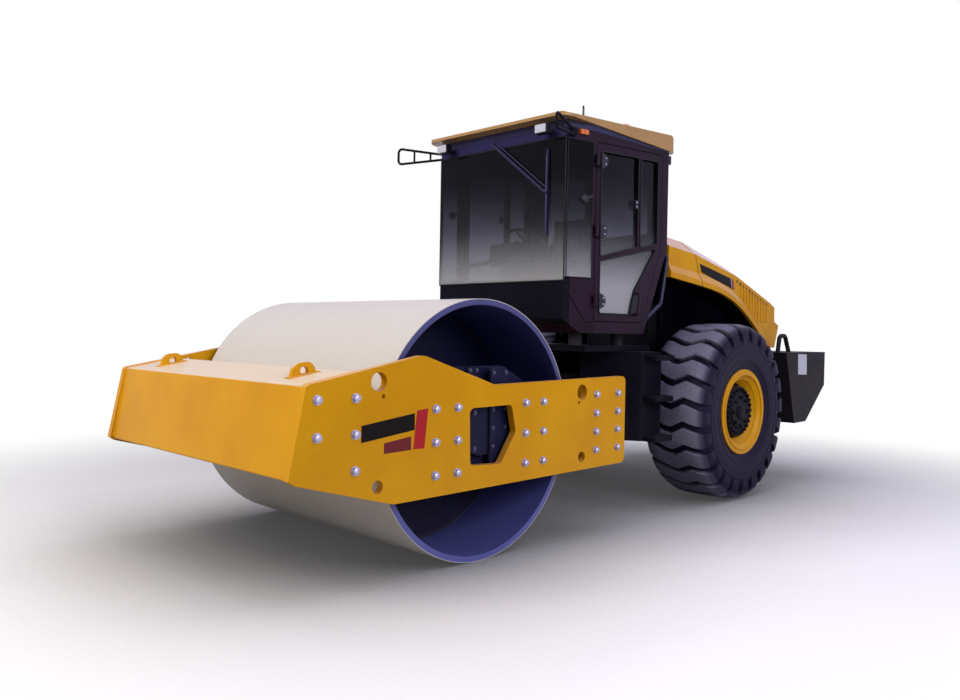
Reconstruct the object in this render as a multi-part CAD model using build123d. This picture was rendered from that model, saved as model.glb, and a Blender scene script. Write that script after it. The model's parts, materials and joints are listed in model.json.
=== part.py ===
from build123d import *

import os
from math import atan2, cos, degrees, hypot, pi, sin

# Single-drum soil compactor: a smooth steel drum in a bolted plate frame, an articulated
# steering joint with an oscillation bearing, a glazed cab and a tilting engine hood over
# two lugged drive tyres. Millimetres; +X forward, +Y the machine's left, +Z up; the origin
# is on the ground under the middle of the machine.

# Layout along the machine
NOSE_REACH = 1497.0
PIVOT_BEHIND_DRUM = 1700.0
AXLE_BEHIND_PIVOT = 1560.0
TAIL_REACH = 3440.0

# Fits
RUN_FIT = 0.3

# Drum
DRUM_RADIUS = 850.0
DRUM_WIDTH = 2170.0
DRUM_WALL = 40.0
HEAD_INSET = 600.0
HEAD_THICKNESS = 30.0
HUB_RADIUS = 210.0
HUB_LENGTH = 70.0
SPINDLE_RADIUS = 120.0

# Front frame, places measured from the drum axis
PLATE_THICKNESS = 50.0
PLATE_GAP = 48.0
BEAM_FACE_INSET = 8.0
BEAM_REAR = 1030.0
WINDOW_FILLET = 35.0
BUFFER_LENGTH = 118.0
BUFFER_PITCH = 200.0
BUFFER_SPREAD = 400.0
BUFFER_DROP = 30.0
BUFFER_SIZE = (300.0, 130.0)
SUPPORT_THICKNESS = 30.0
MOTOR_RADIUS = 165.0
MOTOR_LENGTH = 70.0
LUG_THICKNESS = 30.0
LUG_SPACING = 1660.0
LUG_HOLE = (1190.0, 398.0)
LUG_HOLE_RADIUS = 26.0
TIE_HOLE_FRONT = (920.0, 345.0)
TIE_HOLE_REAR = (-915.0, 216.0)
TIE_HOLE_RADIUS = 55.0
LOW_HOLE_RADIUS = 38.0
PEG_HOLE_RADIUS = 12.0
CROSSBEAM_DEPTH = 360.0
CROSSBEAM_REAR = 1400.0
CROSSBEAM_HEIGHT = 560.0
SCRAPER_GAP = 12.0
SCRAPER_THICKNESS = 14.0
FRONT_SCRAPER_Z = -60.0
REAR_SCRAPER_Z = -270.0

# Articulation
YOKE_Z = 820.0
TRUNNION_RADIUS = 100.0
PIN_RADIUS = 60.0
COLUMN_RADIUS = 130.0
COLUMN_HEIGHT = 500.0
COLLAR_RADIUS = 150.0
HEAD_LUG_THICKNESS = 55.0
BOSS_RADIUS = 175.0
BOSS_LENGTH = 40.0
KEEPER_THICKNESS = 24.0

# Steering cylinders, seen from above
ARM_FORWARD = 118.0
ARM_SIDE = 254.0
ANCHOR_BEHIND = 560.0
ANCHOR_SIDE = 240.0
CLEVIS_GAP = 80.0
CLEVIS_PLATE = 25.0
EYE_RADIUS = 45.0
EYE_PIN_RADIUS = 25.0
EYE_HEIGHT = 70.0
BARREL_RADIUS = 50.0
BARREL_LENGTH = 440.0
ROD_RADIUS = 30.0
ROD_TAIL = 265.0

# Rear chassis, places measured from the steering pivot
RAIL_OUTER = 430.0
RAIL_THICKNESS = 30.0
RAIL_TOP = 1230.0
RAIL_ARCH = 980.0
RAIL_TAIL = 900.0
RAIL_BOTTOM = 515.0
HEAD_FRONT = 300.0
DECK_TOP = 1390.0
DECK_THICKNESS = 50.0
DECK_HALF = 740.0
DECK_FRONT = 200.0
DECK_REAR = -720.0
MOUNT_RADIUS = 55.0
MOUNT_SIDE = 600.0
TANK_OUTER = 900.0
TANK_BOTTOM = 590.0
TANK_REAR = 690.0
STEP_LEVELS = (610.0, 945.0, 1290.0)
STEP_DEPTH = 120.0
STEP_THICKNESS = 40.0
STEP_FRONT = 410.0

# Rear axle and wheels
TYRE_RADIUS = 800.0
TYRE_WIDTH = 595.0
TRACK = 1860.0
LUG_COUNT = 24
LUG_DEPTH = 40.0
LUG_GROOVE = 52.0
BEAD_RADIUS = 320.0
RIM_RADIUS = 387.0
RIM_HALF = 262.0
RIM_DISH_RADIUS = 246.0
WHEEL_HUB_RADIUS = 232.0
AXLE_TUBE_RADIUS = 130.0
AXLE_SPINDLE_RADIUS = 95.0
SPINDLE_END = 58.0
BANJO_RADIUS = 260.0
DRIVE_NOSE = 420.0
AXLE_PAD = 100.0

# Cab, places measured from the steering pivot
CAB_FRONT = 451.0
CAB_FRONT_HALF = 716.0
CAB_HALF = 780.0
CAB_SHOULDER = 140.0
CAB_REAR = -900.0
CAB_FOOT = -560.0
CAB_FLOOR = 1490.0
CAB_SILL = 1590.0
CAB_TOP = 3100.0
CAB_WALL = 50.0
SCREEN_BOTTOM = 1900.0
SCREEN_TOP = 3020.0
CORNER_POST = 14.0
QUARTER_REAR = 185.0
QUARTER_LOW = 1930.0
QUARTER_HIGH = 3010.0
REAR_GLASS_HALF = 600.0
REAR_GLASS_LOW = 2330.0
REAR_GLASS_HIGH = 2990.0
GLASS = 8.0
GLASS_LAP = 20.0

# Doors
DOOR_GAP = 6.0
DOOR_REAR = -800.0
DOOR_KINK_Z = 2250.0
DOOR_FOOT = -520.0
DOOR_TOP_FRONT = 3015.0
DOOR_TOP_REAR = 3060.0
DOOR_FRAME = 62.0
MID_BAR_FRONT = 2080.0
MID_BAR_REAR = 2275.0
BAR_HALF = 16.0
SLIDER_BAR = -460.0
PANE_FILLET = 22.0
HANDLE_V = -360.0
HANDLE_Z = 1740.0
HANDLE_RADIUS = 12.0
HINGE_AHEAD = 12.0
HINGE_OFFSET = 22.0
HINGE_LEVELS = (1750.0, 2310.0, 2870.0)
HINGE_STRAP = 70.0
PILLAR_STRAP = 24.0
HINGE_PIN_RADIUS = 8.0
KNUCKLE_RADIUS = 16.0
KNUCKLE_HEIGHT = 50.0
EAR_HEIGHT = 20.0

# Roof, lamps, mirrors and wiper
ROOF_HALF = 800.0
ROOF_FRONT = 570.0
ROOF_REAR = -1000.0
BEACON_RADIUS = 62.0
BEACON_Y = 450.0
BEACON_SEAT = 3245.0
BEACON_HEIGHT = 120.0
LAMP_SIDE = 568.0
MIRROR_FOOT_V = 400.0
MIRROR_FOOT = 30.0
MIRROR_BEND = 35.0
MIRROR_BAR_RADIUS = 11.0
WIPER_PIVOT = (-60.0, 3060.0)
HANDRAIL_RADIUS = 17.0

# Seat
SEAT_V = -330.0
SEAT_Z = 1850.0

# Hood and engine bay
HOOD_HALF = 750.0
HOOD_WALL = 25.0
HOOD_FRONT = -980.0
HOOD_CROWN_HALF = 600.0
HOOD_FOOT_Z = 1372.0
HOOD_SPLIT_GAP = 10.0
LIP_HEIGHT = 120.0
LIP_SLOPE = 70.0
LIP_FLARE = 28.0
HINGE_SETBACK = 518.0
HINGE_RISE = 65.0
HOOD_LUG_RADIUS = 20.0
HOOD_PIN_RADIUS = 11.0
HOOD_LUG_SIDE = 300.0
RIB_COUNT = 10
RIB_FRONT = -2330.0
RIB_PITCH = 62.0
RIB_WIDTH = 34.0
RIB_HEIGHT = 8.0
PANEL_HALF = 610.0
PANEL_THICKNESS = 20.0
BAY_FLOOR = 20.0
BAY_FRONT = -1050.0
BAY_REAR = -2440.0
ENGINE_TOP = 1780.0
SLOT_REAR = -1540.0
SLOT_LOW = 1420.0
SLOT_SIZE = (70.0, 18.0)
SLOT_PITCH = (95.0, 42.0)
SLOT_COLUMNS = 5
SLOT_ROWS = 10

# Counterweight
WEIGHT_HALF = 1150.0
WEIGHT_DEPTH = 920.0
WEIGHT_TOP = 1335.0
LOOP_RADIUS = 22.0
LOOP_SIDE = 1000.0

PIVOT_X = (TAIL_REACH - NOSE_REACH - PIVOT_BEHIND_DRUM) / 2
DRUM_X = PIVOT_X + PIVOT_BEHIND_DRUM
AXLE_X = PIVOT_X - AXLE_BEHIND_PIVOT
DRUM_END = DRUM_WIDTH / 2
PLATE_INNER = DRUM_END + PLATE_GAP
PLATE_OUTER = PLATE_INNER + PLATE_THICKNESS
DRUM_Z = DRUM_RADIUS
AXLE_Z = TYRE_RADIUS
WHEEL_Y = TRACK / 2

nodes = {}


def outline(corners):
    """Closed flat outline through (a, b) corners; a third number rounds that corner."""
    face = make_face(Polyline(*[(c[0], c[1]) for c in corners], close=True))
    for corner in corners:
        if len(corner) == 3:
            nearest = face.vertices().sort_by_distance((corner[0], corner[1], 0))[0]
            face = fillet(nearest, corner[2])
    return face


def prism_y(corners, y_low, y_high):
    """Side-view outline of (x, z) corners, carried across the machine."""
    return Pos(0, y_low, 0) * extrude(Plane.XZ * outline(corners), -(y_high - y_low))


def prism_z(corners, z_low, z_high):
    """Plan outline of (x, y) corners, carried upwards."""
    return Pos(0, 0, z_low) * extrude(outline(corners), z_high - z_low)


def prism_x(corners, x_low, x_high):
    """Front-view outline of (y, z) corners, carried forwards."""
    return Pos(x_low, 0, 0) * extrude(Plane.YZ * outline(corners), x_high - x_low)


def block(x_low, x_high, y_low, y_high, z_low, z_high):
    size = (x_high - x_low, y_high - y_low, z_high - z_low)
    return Pos(x_low, y_low, z_low) * Box(*size, align=(Align.MIN, Align.MIN, Align.MIN))


def rod_x(radius, x_low, x_high, y, z):
    return Pos((x_low + x_high) / 2, y, z) * Rot(0, 90, 0) * Cylinder(radius, x_high - x_low)


def rod_y(radius, x, y_low, y_high, z):
    return Pos(x, (y_low + y_high) / 2, z) * Rot(90, 0, 0) * Cylinder(radius, y_high - y_low)


def rod_z(radius, x, y, z_low, z_high):
    return Pos(x, y, (z_low + z_high) / 2) * Cylinder(radius, z_high - z_low)


def mirrored(shape):
    return mirror(shape, about=Plane.XZ)


def bent_bar(points, bend, radius):
    """Round bar along straight runs joined by equal bends."""
    path = FilletPolyline(*points, radius=bend)
    return sweep(Plane(path @ 0, z_dir=path % 0) * Circle(radius), path)


def front(corners):
    """Side-view corners measured from the drum axis, moved to their place on the machine."""
    return [(DRUM_X + c[0], DRUM_Z + c[1], *c[2:]) for c in corners]


def rear(corners):
    """Corners measured along the machine from the steering pivot, moved to their place."""
    return [(PIVOT_X + c[0], *c[1:]) for c in corners]


def keep(name, *solids):
    """A named piece of one or more solids that don't touch."""
    nodes[name] = [solid for shape in solids for solid in shape.solids()]


# Drum

HEAD_FACE = DRUM_END - HEAD_INSET
BORE_PAST = 20.0

shell = rod_y(DRUM_RADIUS, DRUM_X, -DRUM_END, DRUM_END, DRUM_Z)
shell -= rod_y(DRUM_RADIUS - DRUM_WALL, DRUM_X, -DRUM_END - BORE_PAST, DRUM_END + BORE_PAST, DRUM_Z)
keep("drum_shell", shell)

head = rod_y(DRUM_RADIUS - DRUM_WALL, DRUM_X, HEAD_FACE - HEAD_THICKNESS, HEAD_FACE, DRUM_Z)
head += rod_y(HUB_RADIUS, DRUM_X, HEAD_FACE, HEAD_FACE + HUB_LENGTH, DRUM_Z)
head -= rod_y(SPINDLE_RADIUS + RUN_FIT, DRUM_X, HEAD_FACE - HEAD_THICKNESS - BORE_PAST,
              HEAD_FACE + HUB_LENGTH + BORE_PAST, DRUM_Z)
keep("drum_heads", head, mirrored(head))

# Front frame: two side plates bolted to a front beam and a rear crossbeam

plate = prism_y(front([
    (1395, 340, 30), (590, 492, 120), (-20, 298, 120), (-1440, 320, 45), (-1440, -335, 45),
    (806, -361, 150), (1460, -180), (NOSE_REACH, -155)]), PLATE_INNER, PLATE_OUTER)
for hole_x, hole_z, hole_radius in (
        (TIE_HOLE_FRONT[0], TIE_HOLE_FRONT[1], TIE_HOLE_RADIUS),
        (TIE_HOLE_REAR[0], TIE_HOLE_REAR[1], TIE_HOLE_RADIUS),
        (920, -248, LOW_HOLE_RADIUS), (-920, -248, LOW_HOLE_RADIUS),
        (887, 261, PEG_HOLE_RADIUS), (-882, 144, PEG_HOLE_RADIUS)):
    plate -= rod_y(hole_radius, DRUM_X + hole_x, PLATE_INNER - BORE_PAST, PLATE_OUTER + BORE_PAST,
                   DRUM_Z + hole_z)
plate -= prism_y(front([
    (206, 158, WINDOW_FILLET), (195, -201, WINDOW_FILLET), (-81, -214, WINDOW_FILLET),
    (-220, -15, WINDOW_FILLET), (-176, 164, WINDOW_FILLET)]),
    PLATE_INNER - BORE_PAST, PLATE_OUTER + BORE_PAST)
keep("side_plate_left", plate)
keep("side_plate_right", mirrored(plate))

beam = prism_y(front([
    (1395 - BEAM_FACE_INSET, 334, 12), (BEAM_REAR, 402), (BEAM_REAR, -165), (1478, -165, 12)]),
    -PLATE_INNER, PLATE_INNER)
lug = prism_y(front([(1095, 330), (1285, 330), (1250, 440, 55), (1130, 452, 55)]),
              LUG_SPACING / 2 - LUG_THICKNESS / 2, LUG_SPACING / 2 + LUG_THICKNESS / 2)
lug -= rod_y(LUG_HOLE_RADIUS, DRUM_X + LUG_HOLE[0], 0, LUG_SPACING, DRUM_Z + LUG_HOLE[1])
beam += lug
beam += mirrored(lug)
keep("front_beam", beam)

CROSS_REAR_X = DRUM_X - CROSSBEAM_REAR
CROSS_FRONT_X = CROSS_REAR_X + CROSSBEAM_DEPTH
BOSS_REAR_X = CROSS_REAR_X - BOSS_LENGTH
crossbeam = block(CROSS_REAR_X, CROSS_FRONT_X, -PLATE_INNER, PLATE_INNER,
                  YOKE_Z - CROSSBEAM_HEIGHT / 2, YOKE_Z + CROSSBEAM_HEIGHT / 2)
crossbeam += rod_x(BOSS_RADIUS, BOSS_REAR_X, CROSS_REAR_X, 0, YOKE_Z)
crossbeam -= rod_x(TRUNNION_RADIUS + RUN_FIT, BOSS_REAR_X - BORE_PAST, CROSS_FRONT_X + BORE_PAST, 0, YOKE_Z)
keep("rear_crossbeam", crossbeam)

SUPPORT_OUTER = PLATE_INNER - BUFFER_LENGTH
SUPPORT_INNER = SUPPORT_OUTER - SUPPORT_THICKNESS
support = prism_y(front([
    (-570, -320, 60), (570, -320, 60), (570, 250, 60), (260, 410, 60), (-260, 410, 60),
    (-570, 250, 60)]), SUPPORT_INNER, SUPPORT_OUTER)
support += rod_y(SPINDLE_RADIUS, DRUM_X, HEAD_FACE - HEAD_THICKNESS, SUPPORT_INNER, DRUM_Z)
support += rod_y(MOTOR_RADIUS, DRUM_X, SUPPORT_OUTER, SUPPORT_OUTER + MOTOR_LENGTH, DRUM_Z)
keep("drum_support_left", support)
keep("drum_support_right", mirrored(support))

buffers = []
for side in (-1, 1):
    for level in (-1, 0, 1):
        pad = Plane.XZ * SlotOverall(*BUFFER_SIZE)
        pad = Pos(DRUM_X + side * BUFFER_SPREAD, SUPPORT_OUTER,
                  DRUM_Z - BUFFER_DROP + level * BUFFER_PITCH) * extrude(pad, -BUFFER_LENGTH)
        buffers += [pad, mirrored(pad)]
keep("rubber_buffers", *buffers)


def scraper(mount_u, blade_z):
    """Angle-section blade from its mounting face to just short of the drum."""
    outward = 1 if mount_u > 0 else -1
    reach = DRUM_RADIUS + SCRAPER_GAP
    tip = outward * (reach ** 2 - blade_z ** 2) ** 0.5
    inner = mount_u - outward * SCRAPER_THICKNESS
    upright = blade_z + 7 * SCRAPER_THICKNESS
    under = blade_z - SCRAPER_THICKNESS
    return prism_y(front([(mount_u, upright), (inner, upright), (inner, blade_z), (tip, blade_z),
                          (tip, under), (mount_u, under)]), -DRUM_END + PLATE_GAP, DRUM_END - PLATE_GAP)


keep("drum_scrapers", scraper(BEAM_REAR, FRONT_SCRAPER_Z),
     scraper(CROSSBEAM_DEPTH - CROSSBEAM_REAR, REAR_SCRAPER_Z))

# Articulation yoke: a pivot column, an oscillation trunnion and two steering arms

ARM_ANGLE = degrees(atan2(ARM_SIDE, ARM_FORWARD))
ARM_LENGTH = hypot(ARM_FORWARD, ARM_SIDE)
COLUMN_LOW = YOKE_Z - COLUMN_HEIGHT / 2
COLUMN_HIGH = YOKE_Z + COLUMN_HEIGHT / 2


def clevis_plates(shape):
    """Upper and lower plates of a clevis from one plan outline."""
    upper = Pos(0, 0, YOKE_Z + CLEVIS_GAP / 2) * extrude(shape, CLEVIS_PLATE)
    lower = Pos(0, 0, YOKE_Z - CLEVIS_GAP / 2 - CLEVIS_PLATE) * extrude(shape, CLEVIS_PLATE)
    return upper + lower


yoke = rod_z(COLUMN_RADIUS, PIVOT_X, 0, COLUMN_LOW, COLUMN_HIGH)
yoke += rod_x(COLLAR_RADIUS, PIVOT_X, BOSS_REAR_X - RUN_FIT, 0, YOKE_Z)
yoke += rod_x(TRUNNION_RADIUS, PIVOT_X, CROSS_FRONT_X + RUN_FIT, 0, YOKE_Z)
yoke += rod_x(BOSS_RADIUS - BOSS_LENGTH, CROSS_FRONT_X + RUN_FIT, CROSS_FRONT_X + RUN_FIT + KEEPER_THICKNESS,
              0, YOKE_Z)
for side in (-1, 1):
    arm = Pos(PIVOT_X + ARM_FORWARD / 2, side * ARM_SIDE / 2) * Rot(0, 0, side * ARM_ANGLE)
    yoke += clevis_plates(arm * SlotCenterToCenter(ARM_LENGTH, 2 * EYE_RADIUS))
yoke -= rod_z(PIN_RADIUS + RUN_FIT, PIVOT_X, 0, COLUMN_LOW - BORE_PAST, COLUMN_HIGH + BORE_PAST)
keep("articulation_yoke", yoke)

# Steering cylinders

CYLINDER_LENGTH = hypot(ANCHOR_BEHIND + ARM_FORWARD, ARM_SIDE - ANCHOR_SIDE)
CYLINDER_ANGLE = degrees(atan2(ARM_SIDE - ANCHOR_SIDE, ANCHOR_BEHIND + ARM_FORWARD))
NECK_LENGTH = 70.0
BORE_START = 110.0

anchor = Pos(PIVOT_X - ANCHOR_BEHIND, ANCHOR_SIDE, YOKE_Z) * Rot(0, 0, CYLINDER_ANGLE)
barrel = Cylinder(EYE_RADIUS, EYE_HEIGHT)
barrel += rod_x(EYE_HEIGHT / 2, 0, NECK_LENGTH, 0, 0)
barrel += rod_x(BARREL_RADIUS, NECK_LENGTH, BARREL_LENGTH, 0, 0)
barrel -= rod_x(ROD_RADIUS + RUN_FIT, BORE_START, BARREL_LENGTH + BORE_PAST, 0, 0)
barrel -= Cylinder(EYE_PIN_RADIUS + RUN_FIT, EYE_HEIGHT + BORE_PAST)
keep("steer_barrel_left", anchor * barrel)
keep("steer_barrel_right", mirrored(anchor * barrel))

rod = rod_x(ROD_RADIUS, ROD_TAIL, CYLINDER_LENGTH, 0, 0)
rod += Pos(CYLINDER_LENGTH, 0, 0) * Cylinder(EYE_RADIUS, EYE_HEIGHT)
rod += Pos(CYLINDER_LENGTH, 0, 0) * Cylinder(EYE_PIN_RADIUS, CLEVIS_GAP - 2 * RUN_FIT)
keep("steer_rod_left", anchor * rod)
keep("steer_rod_right", mirrored(anchor * rod))

# Rear chassis: two rails, pivot lugs with their pin, cylinder anchors and cross plates

RAIL_INNER = RAIL_OUTER - RAIL_THICKNESS
DECK_BOTTOM = DECK_TOP - DECK_THICKNESS
WEIGHT_FRONT = WEIGHT_DEPTH - TAIL_REACH
WEIGHT_TOE = (WEIGHT_FRONT - 210, 615.0)


def weight_face(z):
    """Where the sloping front face of the counterweight stands at a height."""
    share = (WEIGHT_TOP - z) / (WEIGHT_TOP - WEIGHT_TOE[1])
    return WEIGHT_FRONT + share * (WEIGHT_TOE[0] - WEIGHT_FRONT)


AXLE_V = -AXLE_BEHIND_PIVOT
rail = prism_y(rear([
    (-HEAD_FRONT, RAIL_BOTTOM), (-HEAD_FRONT, DECK_BOTTOM), (-900, DECK_BOTTOM, 60), (-1000, RAIL_TOP, 60),
    (weight_face(RAIL_TOP), RAIL_TOP), (weight_face(RAIL_TAIL), RAIL_TAIL), (AXLE_V - 420, RAIL_TAIL, 40),
    (AXLE_V - 300, RAIL_ARCH, 60), (AXLE_V + 300, RAIL_ARCH, 60), (AXLE_V + 520, RAIL_BOTTOM, 60)]),
    RAIL_INNER, RAIL_OUTER)
chassis = rail + mirrored(rail)
head_plan = rear([(0, -COLUMN_RADIUS, 110), (-HEAD_FRONT, -RAIL_OUTER), (-HEAD_FRONT - 150, -RAIL_OUTER),
                  (-HEAD_FRONT - 150, RAIL_OUTER), (-HEAD_FRONT, RAIL_OUTER), (0, COLUMN_RADIUS, 110)])
for plate_low in (COLUMN_LOW - RUN_FIT - HEAD_LUG_THICKNESS, COLUMN_HIGH + RUN_FIT):
    chassis += prism_z(head_plan, plate_low, plate_low + HEAD_LUG_THICKNESS)
    chassis += rod_z(COLUMN_RADIUS, PIVOT_X, 0, plate_low, plate_low + HEAD_LUG_THICKNESS)
chassis += rod_z(PIN_RADIUS, PIVOT_X, 0, COLUMN_LOW - HEAD_LUG_THICKNESS, COLUMN_HIGH + HEAD_LUG_THICKNESS)
for side in (-1, 1):
    seat_low, seat_high = sorted((side * (ANCHOR_SIDE - EYE_RADIUS), side * (RAIL_INNER + RUN_FIT)))
    anchor_plan = Pos(PIVOT_X - ANCHOR_BEHIND, (seat_low + seat_high) / 2) * Rectangle(
        2 * EYE_RADIUS, seat_high - seat_low)
    chassis += clevis_plates(anchor_plan)
    chassis += rod_z(EYE_PIN_RADIUS, PIVOT_X - ANCHOR_BEHIND, side * ANCHOR_SIDE,
                     YOKE_Z - CLEVIS_GAP / 2 - CLEVIS_PLATE, YOKE_Z + CLEVIS_GAP / 2 + CLEVIS_PLATE)
for plate_v, plate_low, plate_high in ((-730, RAIL_BOTTOM, DECK_BOTTOM), (-2480, RAIL_TAIL, RAIL_TOP)):
    chassis += block(PIVOT_X + plate_v, PIVOT_X + plate_v + RAIL_THICKNESS, -RAIL_INNER - 1, RAIL_INNER + 1,
                     plate_low, plate_high)
keep("rear_chassis", chassis)

keep("cab_deck", block(PIVOT_X + DECK_REAR, PIVOT_X + DECK_FRONT, -DECK_HALF, DECK_HALF,
                       DECK_BOTTOM, DECK_TOP))

mounts = [rod_z(MOUNT_RADIUS, PIVOT_X + v, y, DECK_TOP, CAB_FLOOR)
          for v in (150, -420) for y in (-MOUNT_SIDE, MOUNT_SIDE)]
keep("cab_mounts", *mounts)

tank = prism_z(rear([(-140, RAIL_OUTER), (-400, TANK_OUTER, 60), (-TANK_REAR, TANK_OUTER, 40),
                     (-TANK_REAR, RAIL_OUTER)]), TANK_BOTTOM, DECK_BOTTOM)
for level in STEP_LEVELS:
    tread_top = level + STEP_THICKNESS / 2
    tank += prism_z(rear([(-TANK_REAR, TANK_OUTER - 60), (-STEP_FRONT, TANK_OUTER - 60),
                          (-STEP_FRONT, TANK_OUTER + STEP_DEPTH, 25),
                          (-TANK_REAR, TANK_OUTER + STEP_DEPTH, 25)]), tread_top - STEP_THICKNESS, tread_top)
keep("side_tanks", tank, mirrored(tank))

# Rear axle and wheels

WHEEL_INNER = WHEEL_Y - TYRE_WIDTH / 2
axle = rod_y(AXLE_TUBE_RADIUS, AXLE_X, -WHEEL_INNER, WHEEL_INNER, AXLE_Z)
axle += rod_y(AXLE_SPINDLE_RADIUS, AXLE_X, -WHEEL_Y - SPINDLE_END, WHEEL_Y + SPINDLE_END, AXLE_Z)
axle += Pos(AXLE_X, 0, AXLE_Z) * Sphere(BANJO_RADIUS)
axle += rod_x(AXLE_TUBE_RADIUS, AXLE_X, AXLE_X + DRIVE_NOSE, 0, AXLE_Z)
for side in (-1, 1):
    pad_low, pad_high = sorted((side * (RAIL_INNER - 20), side * (RAIL_OUTER + 20)))
    axle += block(AXLE_X - AXLE_PAD, AXLE_X + AXLE_PAD, pad_low, pad_high, AXLE_Z, RAIL_ARCH)
keep("rear_axle", axle)


def turned(profile):
    """Ring turned about the wheel axis from (radius, sideways) corners."""
    return revolve(outline(profile), Axis.Y)


def faceted_ring(profile):
    """Ring of flat facets, one to a tread bar, about the wheel axis through (radius, sideways) corners."""
    turns = [2 * pi * i / LUG_COUNT for i in range(LUG_COUNT)]
    rings = [[(r * cos(turn), y, r * sin(turn)) for r, y in profile] for turn in turns]
    faces = []
    for ring, after in zip(rings, rings[1:] + rings[:1]):
        for j in range(len(profile)):
            k = (j + 1) % len(profile)
            faces.append(Face(Wire.make_polygon([ring[j], ring[k], after[k], after[j]])))
    return Solid(Shell(faces))


def both_walls(wall):
    """Tyre profile from the corners of one sidewall."""
    return [(r, -y) for r, y in wall] + [(r, y) for r, y in reversed(wall)]


def tyre():
    """Carcass with zigzag traction bars that wrap over both shoulders."""
    half = TYRE_WIDTH / 2
    carcass = faceted_ring(both_walls([
        (BEAD_RADIUS - 20, RIM_HALF), (RIM_RADIUS + 8, RIM_HALF), (560, half), (650, half - 6),
        (TYRE_RADIUS - LUG_DEPTH, 205)]))
    carcass -= rod_y(BEAD_RADIUS, 0, -half, half, 0)
    envelope = faceted_ring(both_walls([(600, half), (690, half), (765, half - 22), (TYRE_RADIUS, 215)]))
    pitch = 2 * pi * TYRE_RADIUS / LUG_COUNT
    width = pitch - LUG_GROOVE
    zigzag = [(-half - 10, -0.45 * pitch), (-150, -0.1 * pitch), (-20, 0.22 * pitch), (120, -0.1 * pitch),
              (half + 10, 0.18 * pitch)]
    edge = [(t - width / 2, y) for y, t in zigzag] + [(t + width / 2, y) for y, t in reversed(zigzag)]
    bar = Pos(0, 0, 600) * extrude(outline(edge), TYRE_RADIUS)
    bars = [Rot(0, 360 * i / LUG_COUNT, 0) * bar & envelope for i in range(LUG_COUNT)]
    return carcass.fuse(*[solid for lug in bars for solid in lug.solids()])


rim = turned([
    (AXLE_SPINDLE_RADIUS + RUN_FIT, 30), (AXLE_SPINDLE_RADIUS + RUN_FIT, 60), (RIM_DISH_RADIUS, 60),
    (RIM_DISH_RADIUS, 170, 15), (300, 245, 25), (335, RIM_HALF + 16, 8), (RIM_RADIUS, RIM_HALF + 16, 6),
    (RIM_RADIUS, RIM_HALF), (BEAD_RADIUS, RIM_HALF), (BEAD_RADIUS, -RIM_HALF), (RIM_RADIUS, -RIM_HALF),
    (RIM_RADIUS, -RIM_HALF - 16), (300, -RIM_HALF - 16), (300, 0), (270, 30)])
hub = turned([(0, 60), (WHEEL_HUB_RADIUS, 60), (WHEEL_HUB_RADIUS, 96), (WHEEL_HUB_RADIUS - 12, 106),
              (168, 112), (155, 134), (120, 138), (112, 152), (100, 158), (0, 158)])
wheel_place = Pos(AXLE_X, WHEEL_Y, AXLE_Z)
tread = wheel_place * tyre()
for name, piece in (("tyre", tread), ("rim", wheel_place * rim), ("hub", wheel_place * hub)):
    keep(name + "_left", piece)
    keep(name + "_right", mirrored(piece))

# Cab shell: outer form less inner form, then split at its panels

CAB_SIDE = [(280, CAB_FLOOR, 30), (CAB_FRONT, CAB_SILL, 30), (CAB_FRONT, CAB_TOP), (CAB_REAR, CAB_TOP),
            (CAB_REAR, DOOR_KINK_Z, 40), (CAB_FOOT, CAB_FLOOR, 30)]
CAB_INSIDE = [(280 - 20, CAB_FLOOR + CAB_WALL), (CAB_FRONT - CAB_WALL, CAB_SILL + 20),
              (CAB_FRONT - CAB_WALL, CAB_TOP + CAB_WALL), (CAB_REAR + CAB_WALL, CAB_TOP + CAB_WALL),
              (CAB_REAR + CAB_WALL, DOOR_KINK_Z - 10), (CAB_FOOT + CAB_WALL + 20, CAB_FLOOR + CAB_WALL)]
TAPER = (CAB_HALF - CAB_FRONT_HALF) / (CAB_FRONT - CAB_SHOULDER)


def cab_plan(inset):
    """Plan of the cab, tapering towards the windscreen, drawn in by the wall."""
    front_half = CAB_FRONT_HALF - inset
    half = CAB_HALF - inset
    return rear([(CAB_FRONT, -front_half), (CAB_FRONT, front_half), (CAB_SHOULDER, half), (CAB_REAR, half),
                 (CAB_REAR, -half), (CAB_SHOULDER, -half)])


def on_quarter(v_rear, v_front, z_low, z_high, outward, thickness):
    """Slab standing on the tapering quarter panel, at a distance from its face."""
    def at(v, distance):
        return (v, CAB_HALF - TAPER * (v - CAB_SHOULDER) + distance)
    return prism_z(rear([at(v_rear, outward), at(v_front, outward), at(v_front, outward + thickness),
                         at(v_rear, outward + thickness)]), z_low, z_high)


DOOR_FRONT = CAB_SHOULDER
DOOR_OUTLINE = [(DOOR_FRONT, CAB_SILL, 12), (DOOR_FRONT, DOOR_TOP_FRONT, 30), (DOOR_REAR, DOOR_TOP_REAR, 30),
                (DOOR_REAR, DOOR_KINK_Z, 60), (DOOR_FOOT, CAB_SILL, 30)]

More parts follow.
